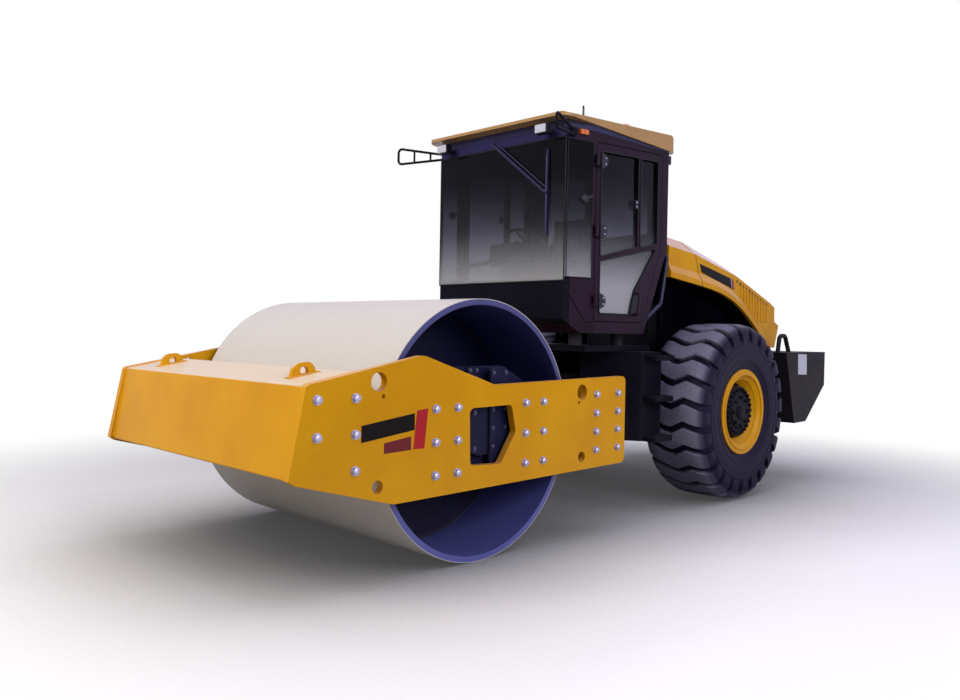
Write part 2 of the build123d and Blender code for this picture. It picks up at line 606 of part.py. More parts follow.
cab = prism_y(rear(CAB_SIDE), -CAB_HALF, CAB_HALF) & prism_z(cab_plan(0), CAB_FLOOR - 1, CAB_TOP + 1)
cab_room = prism_y(rear(CAB_INSIDE), -CAB_HALF, CAB_HALF)
cab -= cab_room & prism_z(cab_plan(CAB_WALL), CAB_FLOOR - 1, CAB_TOP + 90)
SCREEN_HALF = CAB_FRONT_HALF - CORNER_POST
cab -= block(PIVOT_X + CAB_FRONT - 2 * CAB_WALL, PIVOT_X + CAB_FRONT + CAB_WALL, -SCREEN_HALF, SCREEN_HALF,
             SCREEN_BOTTOM + GLASS_LAP, SCREEN_TOP - GLASS_LAP)
cab -= block(PIVOT_X + CAB_REAR - CAB_WALL, PIVOT_X + CAB_REAR + 2 * CAB_WALL, -REAR_GLASS_HALF,
             REAR_GLASS_HALF, REAR_GLASS_LOW + GLASS_LAP, REAR_GLASS_HIGH - GLASS_LAP)
quarter_cut = on_quarter(QUARTER_REAR + GLASS_LAP, CAB_FRONT - CORNER_POST, QUARTER_LOW + GLASS_LAP,
                         QUARTER_HIGH - GLASS_LAP, -2 * CAB_WALL, 3 * CAB_WALL)
doorway = Plane.XZ * offset(outline(rear(DOOR_OUTLINE)), DOOR_GAP)
doorway = Pos(0, CAB_HALF - 2 * CAB_WALL, 0) * extrude(doorway, -3 * CAB_WALL)
for cut in (quarter_cut, doorway):
    cab -= cut
    cab -= mirrored(cut)

floor_zone = block(PIVOT_X - 2000, PIVOT_X + 2000, -2000, 2000, CAB_FLOOR - 10, CAB_FLOOR + CAB_WALL)
front_zone = block(PIVOT_X + CAB_FRONT - CAB_WALL - 10, PIVOT_X + 2000, -2000, 2000,
                   CAB_FLOOR - 10, CAB_TOP + 10)
side_zone = prism_z(rear([
    (CAB_FRONT, CAB_FRONT_HALF - 3 * CAB_WALL), (CAB_SHOULDER - 50, CAB_HALF - CAB_WALL),
    (CAB_REAR - 50, CAB_HALF - CAB_WALL), (CAB_REAR - 50, CAB_HALF + 50), (CAB_FRONT, CAB_HALF + 50)]),
    CAB_FLOOR - 10, CAB_TOP + 10)
cab_bottom = cab & floor_zone
cab -= floor_zone
keep("cab_front", cab & front_zone)
cab -= front_zone
cab_side = cab & side_zone
cab_middle = cab - side_zone - mirrored(side_zone)
rear_zone = block(PIVOT_X - 2000, PIVOT_X, -2000, 2000, CAB_FLOOR - 10, CAB_TOP + 10)
keep("cab_rear_wall", cab_middle & rear_zone)
keep("cab_floor", cab_bottom + (cab_middle - rear_zone))

# Door hinges: pins on the pillar, knuckles on the door

HINGE_X = PIVOT_X + DOOR_FRONT + HINGE_AHEAD
HINGE_Y = CAB_HALF + HINGE_OFFSET
for level in HINGE_LEVELS:
    for low in (level - KNUCKLE_HEIGHT / 2 - RUN_FIT - EAR_HEIGHT, level + KNUCKLE_HEIGHT / 2 + RUN_FIT):
        cab_side += rod_z(KNUCKLE_RADIUS, HINGE_X, HINGE_Y, low, low + EAR_HEIGHT)
        cab_side += block(HINGE_X, HINGE_X + PILLAR_STRAP, CAB_HALF - 25, HINGE_Y + KNUCKLE_RADIUS / 2, low,
                          low + EAR_HEIGHT)
    cab_side += rod_z(HINGE_PIN_RADIUS, HINGE_X, HINGE_Y, level - KNUCKLE_HEIGHT / 2 - EAR_HEIGHT,
                      level + KNUCKLE_HEIGHT / 2 + EAR_HEIGHT)
keep("cab_side_left", cab_side)
keep("cab_side_right", mirrored(cab_side))


def door_top(v):
    return DOOR_TOP_FRONT + (DOOR_FRONT - v) / (DOOR_FRONT - DOOR_REAR) * (DOOR_TOP_REAR - DOOR_TOP_FRONT)


def mid_bar(v):
    return MID_BAR_FRONT + (DOOR_FRONT - v) / (DOOR_FRONT - DOOR_REAR) * (MID_BAR_REAR - MID_BAR_FRONT)


PANE_FRONT = DOOR_FRONT - DOOR_FRAME
PANE_REAR = DOOR_REAR + DOOR_FRAME
slider_low = mid_bar(SLIDER_BAR) + BAR_HALF
slider_high = door_top(SLIDER_BAR) - DOOR_FRAME
panes = [
    [(PANE_FRONT, mid_bar(PANE_FRONT) + BAR_HALF), (PANE_FRONT, door_top(PANE_FRONT) - DOOR_FRAME),
     (SLIDER_BAR + BAR_HALF, slider_high), (SLIDER_BAR + BAR_HALF, slider_low)],
    [(SLIDER_BAR - BAR_HALF, slider_low), (SLIDER_BAR - BAR_HALF, slider_high),
     (PANE_REAR, door_top(PANE_REAR) - DOOR_FRAME), (PANE_REAR, mid_bar(PANE_REAR) + BAR_HALF)],
    [(PANE_FRONT, CAB_SILL + DOOR_FRAME), (PANE_FRONT, mid_bar(PANE_FRONT) - BAR_HALF),
     (PANE_REAR, mid_bar(PANE_REAR) - BAR_HALF), (HANDLE_V - 60, HANDLE_Z + 120),
     (HANDLE_V, CAB_SILL + DOOR_FRAME)]]
door = prism_y(rear(DOOR_OUTLINE), CAB_HALF - CAB_WALL, CAB_HALF)
panes = [[(*corner, PANE_FILLET) for corner in pane] for pane in panes]
for pane in panes:
    door -= prism_y(rear(pane), CAB_HALF - 2 * CAB_WALL, CAB_HALF + CAB_WALL)
for level in HINGE_LEVELS:
    knuckle_low = level - KNUCKLE_HEIGHT / 2
    knuckle_high = level + KNUCKLE_HEIGHT / 2
    door += block(HINGE_X - HINGE_STRAP, PIVOT_X + DOOR_FRONT, CAB_HALF - 5, HINGE_Y,
                  knuckle_low, knuckle_high)
    door += block(HINGE_X - HINGE_STRAP, HINGE_X, CAB_HALF + DOOR_GAP, HINGE_Y + KNUCKLE_RADIUS / 2,
                  knuckle_low, knuckle_high)
    door += rod_z(KNUCKLE_RADIUS, HINGE_X, HINGE_Y, knuckle_low, knuckle_high)
    door -= rod_z(HINGE_PIN_RADIUS + RUN_FIT, HINGE_X, HINGE_Y,
                  level - KNUCKLE_HEIGHT, level + KNUCKLE_HEIGHT)
HANDLE_PATH = [(-70, -10, 95), (-70, 45, 95), (-40, 45, -85), (-40, -10, -85)]
door += bent_bar([(PIVOT_X + HANDLE_V + v, CAB_HALF + y, HANDLE_Z + z) for v, y, z in HANDLE_PATH],
                 18, HANDLE_RADIUS)
keep("door_left", door)
keep("door_right", mirrored(door))
GLASS_LOW = CAB_HALF - (CAB_WALL + GLASS) / 2
door_glass = [prism_y(rear(pane), GLASS_LOW, GLASS_LOW + GLASS) for pane in panes]
keep("door_glass_left", *door_glass)
keep("door_glass_right", *[mirrored(pane) for pane in door_glass])

# Fixed glass

SCREEN_X = PIVOT_X + CAB_FRONT
keep("windscreen", block(SCREEN_X, SCREEN_X + GLASS, -CAB_FRONT_HALF, CAB_FRONT_HALF,
                         SCREEN_BOTTOM, SCREEN_TOP))
quarter = on_quarter(QUARTER_REAR, CAB_FRONT, QUARTER_LOW, QUARTER_HIGH, 0, GLASS)
keep("quarter_glass", quarter, mirrored(quarter))
keep("rear_glass", block(PIVOT_X + CAB_REAR - GLASS, PIVOT_X + CAB_REAR, -REAR_GLASS_HALF - GLASS_LAP,
                         REAR_GLASS_HALF + GLASS_LAP, REAR_GLASS_LOW, REAR_GLASS_HIGH))

# Roof cap, thin over the windscreen and deep at the rear, on a tapering header

ROOF_LIP_Z = CAB_TOP + 60
ROOF_HEEL_Z = CAB_TOP + 6
ROOF_TAIL_Z = CAB_TOP + 95
ROOF_PITCH = 3.0
CROWN_HALF = ROOF_HALF + 100
CROWN_EDGE = 39.0
CROWN_RISE = 205.0


def roof_under(v):
    """Height of the roof's sloping underside."""
    return ROOF_HEEL_Z + (v - ROOF_REAR) / (ROOF_FRONT - ROOF_REAR) * (ROOF_LIP_Z - ROOF_HEEL_Z)


header = prism_y(rear([(CAB_REAR, CAB_TOP), (CAB_FRONT, CAB_TOP), (CAB_FRONT, roof_under(CAB_FRONT)),
                       (CAB_REAR, roof_under(CAB_REAR))]), -CROWN_HALF, CROWN_HALF)
keep("cab_header", header & prism_z(cab_plan(0), CAB_TOP - 1, CAB_TOP + 100))

roof_top = Spline((ROOF_FRONT - 8, ROOF_LIP_Z + 28), (250, CAB_TOP + 140), (-300, CAB_TOP + 190),
                  (-800, CAB_TOP + 195), (ROOF_REAR, ROOF_TAIL_Z))
roof_base = Polyline((ROOF_REAR, ROOF_TAIL_Z), (ROOF_REAR, ROOF_HEEL_Z), (ROOF_FRONT, ROOF_LIP_Z),
                     (ROOF_FRONT - 8, ROOF_LIP_Z + 28))
roof = Pos(PIVOT_X, -CROWN_HALF, 0) * extrude(Plane.XZ * make_face([roof_top, roof_base]), -2 * CROWN_HALF)
crown_top = ThreePointArc((-CROWN_HALF, CROWN_EDGE), (0, CROWN_RISE), (CROWN_HALF, CROWN_EDGE))
crown_base = Polyline((CROWN_HALF, CROWN_EDGE), (CROWN_HALF, -200), (-CROWN_HALF, -200),
                      (-CROWN_HALF, CROWN_EDGE))
crown = extrude(Plane.YZ * make_face([crown_top, crown_base]), 2 * TAIL_REACH, both=True)
roof &= Pos(PIVOT_X + ROOF_FRONT, 0, CAB_TOP) * Rot(0, ROOF_PITCH, 0) * crown
roof &= prism_z(rear([
    (ROOF_FRONT + 5, -ROOF_HALF, 120), (ROOF_FRONT + 5, ROOF_HALF, 120), (ROOF_REAR - 5, ROOF_HALF, 90),
    (ROOF_REAR - 5, -ROOF_HALF, 90)]), CAB_TOP - 10, CAB_TOP + 300)
BEACON_X = PIVOT_X - 700
roof -= rod_z(BEACON_RADIUS, BEACON_X, BEACON_Y, BEACON_SEAT, BEACON_SEAT + 300)
keep("cab_roof", roof)
beacon = revolve(Plane.XZ * outline([
    (0, 0), (BEACON_RADIUS, 0), (BEACON_RADIUS, 45), (BEACON_RADIUS - 8, 52),
    (BEACON_RADIUS - 12, BEACON_HEIGHT - 20), (BEACON_RADIUS - 32, BEACON_HEIGHT),
    (0, BEACON_HEIGHT)]), Axis.Z)
keep("beacon", Pos(BEACON_X, BEACON_Y, BEACON_SEAT) * beacon)

# Lamps

front_lamp = block(PIVOT_X + 530, PIVOT_X + 590, LAMP_SIDE - 60, LAMP_SIDE + 60, CAB_TOP - 60, CAB_TOP + 15)
front_lamp += block(SCREEN_X, PIVOT_X + 540, LAMP_SIDE - 20, LAMP_SIDE + 20, CAB_TOP - 45, CAB_TOP - 20)
rear_lamp = block(PIVOT_X + CAB_REAR - 55, PIVOT_X + CAB_REAR, CAB_HALF - 110, CAB_HALF - 10,
                  CAB_TOP - 95, CAB_TOP - 20)
keep("work_lamps", front_lamp, mirrored(front_lamp), rear_lamp, mirrored(rear_lamp))
marker = on_quarter(250, 330, CAB_TOP - 45, CAB_TOP - 8, 0, 24)
keep("marker_lamps", marker, mirrored(marker))

# Mirror brackets, the left one folded forward, the right one standing out


def mirror_bracket(end_v, end_y, upper_rise, lower_drop):
    """Two arms and an upright of round bar on a foot at the top of the front pillar."""
    foot = on_quarter(MIRROR_FOOT_V - 25, MIRROR_FOOT_V + 25, CAB_TOP - 75, CAB_TOP - 5, 0, MIRROR_FOOT)
    root_y = CAB_HALF - TAPER * (MIRROR_FOOT_V - CAB_SHOULDER) + MIRROR_FOOT / 2
    upper = (PIVOT_X + MIRROR_FOOT_V, root_y, CAB_TOP - 20)
    lower = (PIVOT_X + MIRROR_FOOT_V, root_y, CAB_TOP - 60)
    far_upper = (PIVOT_X + end_v, end_y, CAB_TOP + upper_rise)
    far_lower = (PIVOT_X + end_v, end_y, CAB_TOP - lower_drop)
    bracket = foot + bent_bar([upper, far_upper, far_lower, lower], MIRROR_BEND, MIRROR_BAR_RADIUS)
    for share in (0.3, 0.65):
        top, bottom = [tuple(a + share * (b - a) for a, b in zip(start, end))
                       for start, end in ((upper, far_upper), (lower, far_lower))]
        bracket += sweep(Plane(bottom, z_dir=Vector(*top) - Vector(*bottom)) * Circle(MIRROR_BAR_RADIUS - 2),
                         Line(bottom, top))
    return bracket


keep("mirror_brackets", mirror_bracket(790, 900, 15, 100), mirrored(mirror_bracket(560, 1200, 75, 70)))

# Wiper

WIPER_TIP = (525.0, 2605.0)
wiper = rod_x(18, SCREEN_X, SCREEN_X + 34, WIPER_PIVOT[0], WIPER_PIVOT[1])
wiper += prism_x([(WIPER_PIVOT[0] - 9, WIPER_PIVOT[1] - 8), (WIPER_PIVOT[0] + 9, WIPER_PIVOT[1] + 8),
                  (WIPER_TIP[0] + 30, WIPER_TIP[1] - 12), (WIPER_TIP[0] + 18, WIPER_TIP[1] - 26)],
                 SCREEN_X + 20, SCREEN_X + 30)
wiper += block(SCREEN_X + GLASS, SCREEN_X + 26, WIPER_TIP[0] + 14, WIPER_TIP[0] + 28, WIPER_TIP[1] - 345,
               WIPER_TIP[1] + 335)
keep("wiper", wiper)

# Operator's seat and controls

FLOOR_TOP = CAB_FLOOR + CAB_WALL
seat_x = PIVOT_X + SEAT_V
keep("seat_base", block(seat_x - 130, seat_x + 180, -190, 190, FLOOR_TOP, SEAT_Z))
keep("seat_cushion", block(seat_x - 230, seat_x + 260, -250, 250, SEAT_Z, SEAT_Z + 130))
back_foot = SEAT_Z + 130 + RUN_FIT
keep("seat_back", prism_y([(seat_x - 235, back_foot, 30), (seat_x - 105, back_foot, 30),
                           (seat_x - 185, SEAT_Z + 720, 40), (seat_x - 300, SEAT_Z + 720, 40)], -235, 235))
console = prism_y(rear([(240, FLOOR_TOP), (90, FLOOR_TOP), (205, 2060, 40), (300, 2120, 40)]), -120, 120)
console += prism_y(rear([(330, 2060, 30), (160, 2060, 30), (140, 2200, 30), (300, 2260, 30)]), -230, 230)
column = Pos(PIVOT_X + 160, 0, 2150) * Rot(0, -35, 0)
console += column * rod_z(28, 0, 0, -30, 130)
wheel = Torus(190, 15)
wheel += Cylinder(50, 22)
for spoke in (0, 120, 240):
    wheel += Rot(0, 0, spoke) * block(0, 190, -12, 12, -7, 7)
console += column * Pos(0, 0, 130) * wheel
keep("control_console", console)

# Handrails behind the doors

rail_y = CAB_HALF - 30
HANDRAIL_PATH = [(-868, 2236), (-955, 2180), (-860, 1760), (-606, 1604)]
handrail = bent_bar([(PIVOT_X + v, rail_y, z) for v, z in HANDRAIL_PATH], 60, HANDRAIL_RADIUS)
handrail -= prism_y(rear(CAB_SIDE), -CAB_HALF - 10, CAB_HALF + 10)
keep("handrails", handrail, mirrored(handrail))

# Hood: one swept form, divided into a fixed cowl and the tilting hood

HOOD_RIDGE = [(HOOD_FRONT, 2290), (-1440, 2245), (-2220, 2090), (-2970, 1845), (-3200, 1740)]
HOOD_RISE = [120, 125, 100, 45, 20]
HOOD_LOW = [(HOOD_FRONT, 2010), (-1540, 1952), (-2150, 1825), (-2510, 1640), (-2840, 1395)]
HOOD_BACK = [(-3085, HOOD_FOOT_Z), (-3170, 1610), (-3072, 1650)]
HOOD_PAST = [(-3030, 2600), (HOOD_FRONT, 2600)]


def hood_form(inset):
    """Lofted top and sides of the hood, drawn in by the wall."""
    sections = []
    for (v, ridge), rise in zip(HOOD_RIDGE, HOOD_RISE):
        half = HOOD_HALF - inset
        crown = HOOD_CROWN_HALF - inset / 2
        section = Polyline((half, 1300), (half, ridge - inset), (crown, ridge + rise - inset),
                           (-crown, ridge + rise - inset), (-half, ridge - inset), (-half, 1300), close=True)
        sections.append(Pos(PIVOT_X + v, 0, 0) * (Plane.YZ * make_face(section)))
    return loft(sections, ruled=True)


def hood_side():
    """Side-view outline: arched lower edge, foot and stepped rear."""
    arch = Spline(*HOOD_LOW)
    rest = Polyline(HOOD_LOW[-1], (-2900, HOOD_FOOT_Z), *HOOD_BACK, *HOOD_PAST, HOOD_LOW[0])
    side = extrude(Plane.XZ * make_face([arch, rest]), -2 * HOOD_HALF - 20)
    return Pos(PIVOT_X, -HOOD_HALF - 10, 0) * side


INNER_SIDE = [(HOOD_FRONT + 10, 1200), (HOOD_BACK[0][0] + HOOD_WALL, 1200),
              *[(v + HOOD_WALL, z - HOOD_WALL) for v, z in HOOD_BACK],
              (HOOD_PAST[0][0] + HOOD_WALL, 2600), (HOOD_FRONT + 10, 2600)]
hood_solid = hood_form(0) & hood_side()
hood_hollow = hood_form(HOOD_WALL) & prism_y(rear(INNER_SIDE), -HOOD_HALF, HOOD_HALF)
hood_hollow += block(PIVOT_X + HOOD_FRONT - 1, PIVOT_X + HOOD_FRONT + 20, -HOOD_HALF + HOOD_WALL,
                     HOOD_HALF - HOOD_WALL, 1200, 2200)
hood_skin = hood_solid - hood_hollow


def lip_section(rise, y):
    """Band along the arched lower edge of the hood, this high, at a distance from the middle."""
    low = Spline(*HOOD_LOW)
    high = Spline(*[(v, z + rise) for v, z in reversed(HOOD_LOW)])
    ends = [Line(low @ 1, high @ 0), Line(high @ 1, low @ 0)]
    return Pos(PIVOT_X, y, 0) * (Plane.XZ * make_face([low, high, *ends]))


lip = loft([lip_section(LIP_HEIGHT, HOOD_HALF - 2),
            lip_section(LIP_HEIGHT - LIP_SLOPE, HOOD_HALF + LIP_FLARE)], ruled=True)
hood_skin += lip
hood_skin += mirrored(lip)
SPLIT_LOW = (-1794, 1200)
SPLIT_HIGH = (-1321, 2600)
ahead = prism_y(rear([
    (HOOD_FRONT + 50, SPLIT_LOW[1]), (SPLIT_LOW[0] + HOOD_SPLIT_GAP, SPLIT_LOW[1]),
    (SPLIT_HIGH[0] + HOOD_SPLIT_GAP, SPLIT_HIGH[1]), (HOOD_FRONT + 50, SPLIT_HIGH[1])]),
    -HOOD_HALF - 50, HOOD_HALF + 50)
behind = prism_y(rear([SPLIT_LOW, SPLIT_HIGH, (-3400, SPLIT_HIGH[1]), (-3400, SPLIT_LOW[1])]),
                 -HOOD_HALF - 50, HOOD_HALF + 50)
keep("hood_cowl", hood_skin & ahead)

HINGE_V = WEIGHT_FRONT - HINGE_SETBACK
HINGE_Z = WEIGHT_TOP + HINGE_RISE
hood = hood_skin & behind
for side in (-1, 1):
    ear_low, ear_high = sorted((side * (HOOD_LUG_SIDE + RUN_FIT), side * (HOOD_LUG_SIDE + 30)))
    ear_rear, ear_front = sorted((HOOD_BACK[0][0], HINGE_V + HOOD_LUG_RADIUS))
    ear = block(PIVOT_X + ear_rear, PIVOT_X + ear_front, ear_low, ear_high,
                HINGE_Z - HOOD_LUG_RADIUS, HINGE_Z + 130)
    ear -= rod_y(HOOD_PIN_RADIUS + RUN_FIT, PIVOT_X + HINGE_V, -HOOD_HALF, HOOD_HALF, HINGE_Z)
    hood += ear & hood_solid
    notch_low, notch_high = sorted((side * (HOOD_LUG_SIDE - 50), side * HOOD_LUG_SIDE))
    hood -= block(PIVOT_X + HINGE_V - 82, PIVOT_X + HINGE_V + 8, notch_low, notch_high,
                  HOOD_FOOT_Z - 20, HINGE_Z + 45)
for rib in range(RIB_COUNT):
    rib_v = RIB_FRONT - rib * RIB_PITCH
    ridge_z = 2090 + (rib_v + 2220) * (2090 - 1845) / (2970 - 2220)
    low_z = max(1395 + 110 + (rib_v + 2840) * 0.75, 1640)
    rib_block = block(PIVOT_X + rib_v - RIB_WIDTH / 2, PIVOT_X + rib_v + RIB_WIDTH / 2, HOOD_HALF - 5,
                      HOOD_HALF + RIB_HEIGHT, low_z, ridge_z - 30)
    hood += rib_block
    hood += mirrored(rib_block)
keep("hood", hood)

# Engine bay

keep("engine_block", block(PIVOT_X - 2350, PIVOT_X - 1250, -360, 360, RAIL_TOP + BAY_FLOOR, ENGINE_TOP))
bay_top = RAIL_TOP + BAY_FLOOR
keep("engine_bay_floor", block(PIVOT_X + BAY_REAR, PIVOT_X + BAY_FRONT, -PANEL_HALF, PANEL_HALF,
                               RAIL_TOP, bay_top))
panel = prism_y(rear([
    (BAY_FRONT, bay_top), (BAY_FRONT, 2190), (-1430, 2150), (-1560, 1900), (-2150, 1770), (BAY_REAR, 1580),
    (BAY_REAR, bay_top)]), PANEL_HALF - PANEL_THICKNESS, PANEL_HALF)
panel += prism_y(rear([(BAY_FRONT, 2170), (BAY_FRONT, 2190), (-1400, 2155), (-1400, 2135)]),
                 PANEL_HALF - PANEL_THICKNESS, HOOD_HALF - HOOD_WALL)
slots = []
for column_v in [SLOT_REAR + i * SLOT_PITCH[0] for i in range(SLOT_COLUMNS)]:
    for row_z in [SLOT_LOW + j * SLOT_PITCH[1] for j in range(SLOT_ROWS)]:
        slots.append(block(PIVOT_X + column_v, PIVOT_X + column_v + SLOT_SIZE[0],
                           PANEL_HALF - 2 * PANEL_THICKNESS, PANEL_HALF + PANEL_THICKNESS,
                           row_z, row_z + SLOT_SIZE[1]))
panel = panel.cut(*slots)
keep("engine_side_panels", panel, mirrored(panel))

# Counterweight with lifting loops and the hood's hinge lugs

weight = prism_y(rear([
    (WEIGHT_FRONT, WEIGHT_TOP), (-TAIL_REACH, WEIGHT_TOP), (-TAIL_REACH, WEIGHT_TOP - 350),
    (WEIGHT_FRONT - 480, WEIGHT_TOE[1] + 5, 60), WEIGHT_TOE]), -WEIGHT_HALF, WEIGHT_HALF)
LOOP_PATH = [(-120, -20), (-160, 165), (-280, 165), (-380, -20)]
for side in (-1, 1):
    weight += bent_bar([(PIVOT_X + WEIGHT_FRONT + v, side * LOOP_SIDE, WEIGHT_TOP + rise)
                        for v, rise in LOOP_PATH], 50, LOOP_RADIUS)
    lug_low, lug_high = sorted((side * (HOOD_LUG_SIDE - 40), side * HOOD_LUG_SIDE))
    weight += rod_y(HOOD_LUG_RADIUS, PIVOT_X + HINGE_V, lug_low, lug_high, HINGE_Z)
    weight += block(PIVOT_X + HINGE_V - HOOD_LUG_RADIUS, PIVOT_X + HINGE_V + HOOD_LUG_RADIUS,
                    lug_low, lug_high, WEIGHT_TOP - 5, HINGE_Z)
    pin_low, pin_high = sorted((side * (HOOD_LUG_SIDE - 40), side * (HOOD_LUG_SIDE + 34)))
    weight += rod_y(HOOD_PIN_RADIUS, PIVOT_X + HINGE_V, pin_low, pin_high, HINGE_Z)
keep("counterweight", weight)

os.makedirs("parts", exist_ok=True)
for name, solids in nodes.items():
    shape = solids[0] if len(solids) == 1 else Compound(children=solids)
    export_step(shape, os.path.join("parts", name + ".step"))
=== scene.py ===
import json
import math

import bmesh
import bpy
from mathutils import Matrix, Vector


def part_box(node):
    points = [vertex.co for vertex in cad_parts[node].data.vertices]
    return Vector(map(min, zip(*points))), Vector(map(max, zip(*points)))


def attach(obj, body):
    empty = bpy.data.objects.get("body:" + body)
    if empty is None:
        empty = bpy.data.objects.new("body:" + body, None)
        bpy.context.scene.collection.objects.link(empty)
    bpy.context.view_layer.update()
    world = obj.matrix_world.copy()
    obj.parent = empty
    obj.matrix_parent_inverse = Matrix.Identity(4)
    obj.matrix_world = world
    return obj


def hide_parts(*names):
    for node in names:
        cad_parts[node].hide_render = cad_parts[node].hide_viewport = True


# Articulated soil compactor: smooth drum in a bolted yellow plate frame, dark glazed cab,
# lugged drive tyres under a yellow tilting hood. Metres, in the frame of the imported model.

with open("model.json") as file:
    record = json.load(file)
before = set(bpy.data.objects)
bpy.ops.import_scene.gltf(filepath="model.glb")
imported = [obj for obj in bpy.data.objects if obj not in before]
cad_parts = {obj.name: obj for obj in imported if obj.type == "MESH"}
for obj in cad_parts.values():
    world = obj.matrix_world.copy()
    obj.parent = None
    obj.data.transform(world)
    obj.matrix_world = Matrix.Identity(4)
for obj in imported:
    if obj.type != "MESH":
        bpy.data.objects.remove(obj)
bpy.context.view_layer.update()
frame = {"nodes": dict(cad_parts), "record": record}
nodes = frame["nodes"]

# Places shared with the solids
PIVOT_X = 0.1215
DRUM_X = 1.8215
DRUM_Z = 0.85
AXLE_X = -1.4385
AXLE_Z = 0.80
WHEEL_Y = 0.93
PLATE_FACE = 1.183
SUPPORT_FACE = 1.015
CAB_FACE = 0.78
CAB_NOSE = PIVOT_X + 0.451
HOOD_FACE = 0.75
WEIGHT_FACE = 1.15
TAIL_X = -3.3185

SIDES = (1, -1)
HANDS = ((1, "left"), (-1, "right"))


def linear(code):
    """Linear colour of an sRGB hex code."""
    channels = [int(code[i:i + 2], 16) / 255 for i in (1, 3, 5)]
    return [c / 12.92 if c <= 0.04045 else ((c + 0.055) / 1.055) ** 2.4 for c in channels] + [1.0]


def feed(tree, node, sockets):
    """Each socket takes a value, an output, or a node, which gives its first output in use."""
    for name, value in sockets.items():
        if isinstance(value, bpy.types.Node):
            value = [output for output in value.outputs if output.enabled][0]
        if isinstance(value, bpy.types.NodeSocket):
            tree.links.new(value, node.inputs[name])
        else:
            node.inputs[name].default_value = value


def add(tree, kind, sockets=None, **settings):
    """A node with its settings and its sockets fed."""
    made = tree.nodes.new(kind)
    for name, value in settings.items():
        setattr(made, name, value)
    feed(tree, made, sockets or {})
    return made


def start_material(name):
    """A material with a shader, and the output that gives a point's place on the object."""
    material = bpy.data.materials.new(name)
    material.use_nodes = True
    tree = material.node_tree
    tree.nodes.clear()
    shader = add(tree, "ShaderNodeBsdfPrincipled")
    add(tree, "ShaderNodeOutputMaterial", {"Surface": shader})
    return material, tree, shader, add(tree, "ShaderNodeTexCoord").outputs["Object"]


# Materials

# Fine pale dust, tinted lavender as a painted reflection of the open sky, which shows most where it lies on flat
# tops
DUST_AND_SKY_SHEEN = "#DAD0E0"
YELLOW = ("#DA9C00", "#D09100")
BLACK = ("#08070F", "#0E0C18")
# A wave texture's scale times the pitch of its bands
WAVE_PITCH = 0.314


def enamel(name, base, shade, roughness, gloss, dust_low, dust_and_sheen_top, dust_and_sheen=DUST_AND_SKY_SHEEN):
    """Sprayed machine enamel: tone clouds, orange peel, road dust low down, and on flat tops dust with a painted
    reflection of the sky.
    """
    material, tree, shader, place = start_material(name)
    cloud = add(tree, "ShaderNodeTexNoise", {"Vector": place, "Scale": 1 / 0.45, "Detail": 3.0})
    tone = add(tree, "ShaderNodeMapRange", {"Value": cloud, "From Min": 0.35, "From Max": 0.65})
    paint = add(tree, "ShaderNodeMix", {0: tone, 6: linear(base), 7: linear(shade)}, data_type="RGBA")
    # Dust gathers in specks about 40 mm apart
    specks = add(tree, "ShaderNodeTexNoise",
                 {"Vector": place, "Scale": 1 / 0.04, "Detail": 8.0, "Roughness": 0.7})
    speck_mask = add(tree, "ShaderNodeMapRange",
                     {"Value": specks, "From Min": 0.30, "From Max": 0.70, "To Min": 0.62, "To Max": 1.0})
    height = add(tree, "ShaderNodeSeparateXYZ", {"Vector": place}).outputs["Z"]
    low = add(tree, "ShaderNodeMapRange",
              {"Value": height, "From Min": 0.1, "From Max": 1.1, "To Min": dust_low, "To Max": 0.0})
    # Flat tops turn pale: partly dust, partly a painted reflection of the sky on faces that look up
    facing = add(tree, "ShaderNodeTexCoord").outputs["Normal"]
    upward = add(tree, "ShaderNodeSeparateXYZ", {"Vector": facing}).outputs["Z"]
    flat_top_dust_and_sheen = add(tree, "ShaderNodeMapRange",
                   {"Value": upward, "From Min": 0.35, "From Max": 0.90, "To Min": 0.0, "To Max": dust_and_sheen_top})
    most = add(tree, "ShaderNodeMath", {0: low, 1: flat_top_dust_and_sheen}, operation="MAXIMUM")
    share = add(tree, "ShaderNodeMath", {0: most, 1: speck_mask}, operation="MULTIPLY")
    coloured = add(tree, "ShaderNodeMix", {0: share, 6: paint, 7: linear(dust_and_sheen)}, data_type="RGBA")
    rough = add(tree, "ShaderNodeMapRange", {"Value": specks, "From Min": 0.3, "From Max": 0.7,
                                             "To Min": roughness - 0.06, "To Max": roughness + 0.12})
    # Orange peel about 6 mm across, over edges rounded as cut plate is
    peel = add(tree, "ShaderNodeTexNoise", {"Vector": place, "Scale": 1 / 0.006, "Detail": 2.0})
    edge = add(tree, "ShaderNodeBevel", {"Radius": 0.004}, samples=4)
    bump = add(tree, "ShaderNodeBump",
               {"Strength": 0.06, "Distance": 0.001, "Height": peel, "Normal": edge})
    feed(tree, shader, {"Base Color": coloured, "Roughness": rough, "Normal": bump,
                        "Specular IOR Level": gloss})
    return material


# Glossy chrome-yellow two-pack enamel on plate: warm and saturated
yellow_enamel = enamel("chrome_yellow_enamel", *YELLOW, 0.34, 0.13, 0.02, 0.14)
# The same enamel with hardly any dust and hardly any painted sky reflection, on the wheel rims
rim_enamel = enamel("clean_yellow_enamel", *YELLOW, 0.34, 0.13, 0.02, 0.05)
# The same enamel under a layer of pale sand, which lies on the front beam's flat top
sanded_enamel = enamel("sand_dusted_yellow_enamel", *YELLOW, 0.34, 0.13, 0.02, 1.15, "#DDCDB2")
# Satin black enamel on welded frames: near black with a violet cast
black_enamel = enamel("satin_black_enamel", *BLACK, 0.42, 0.05, 0.02, 0.06)
# A browner black on the counterweight
weight_enamel = enamel("brown_black_enamel", "#2A2526", "#201C24", 0.42, 0.05, 0.02, 0.06)
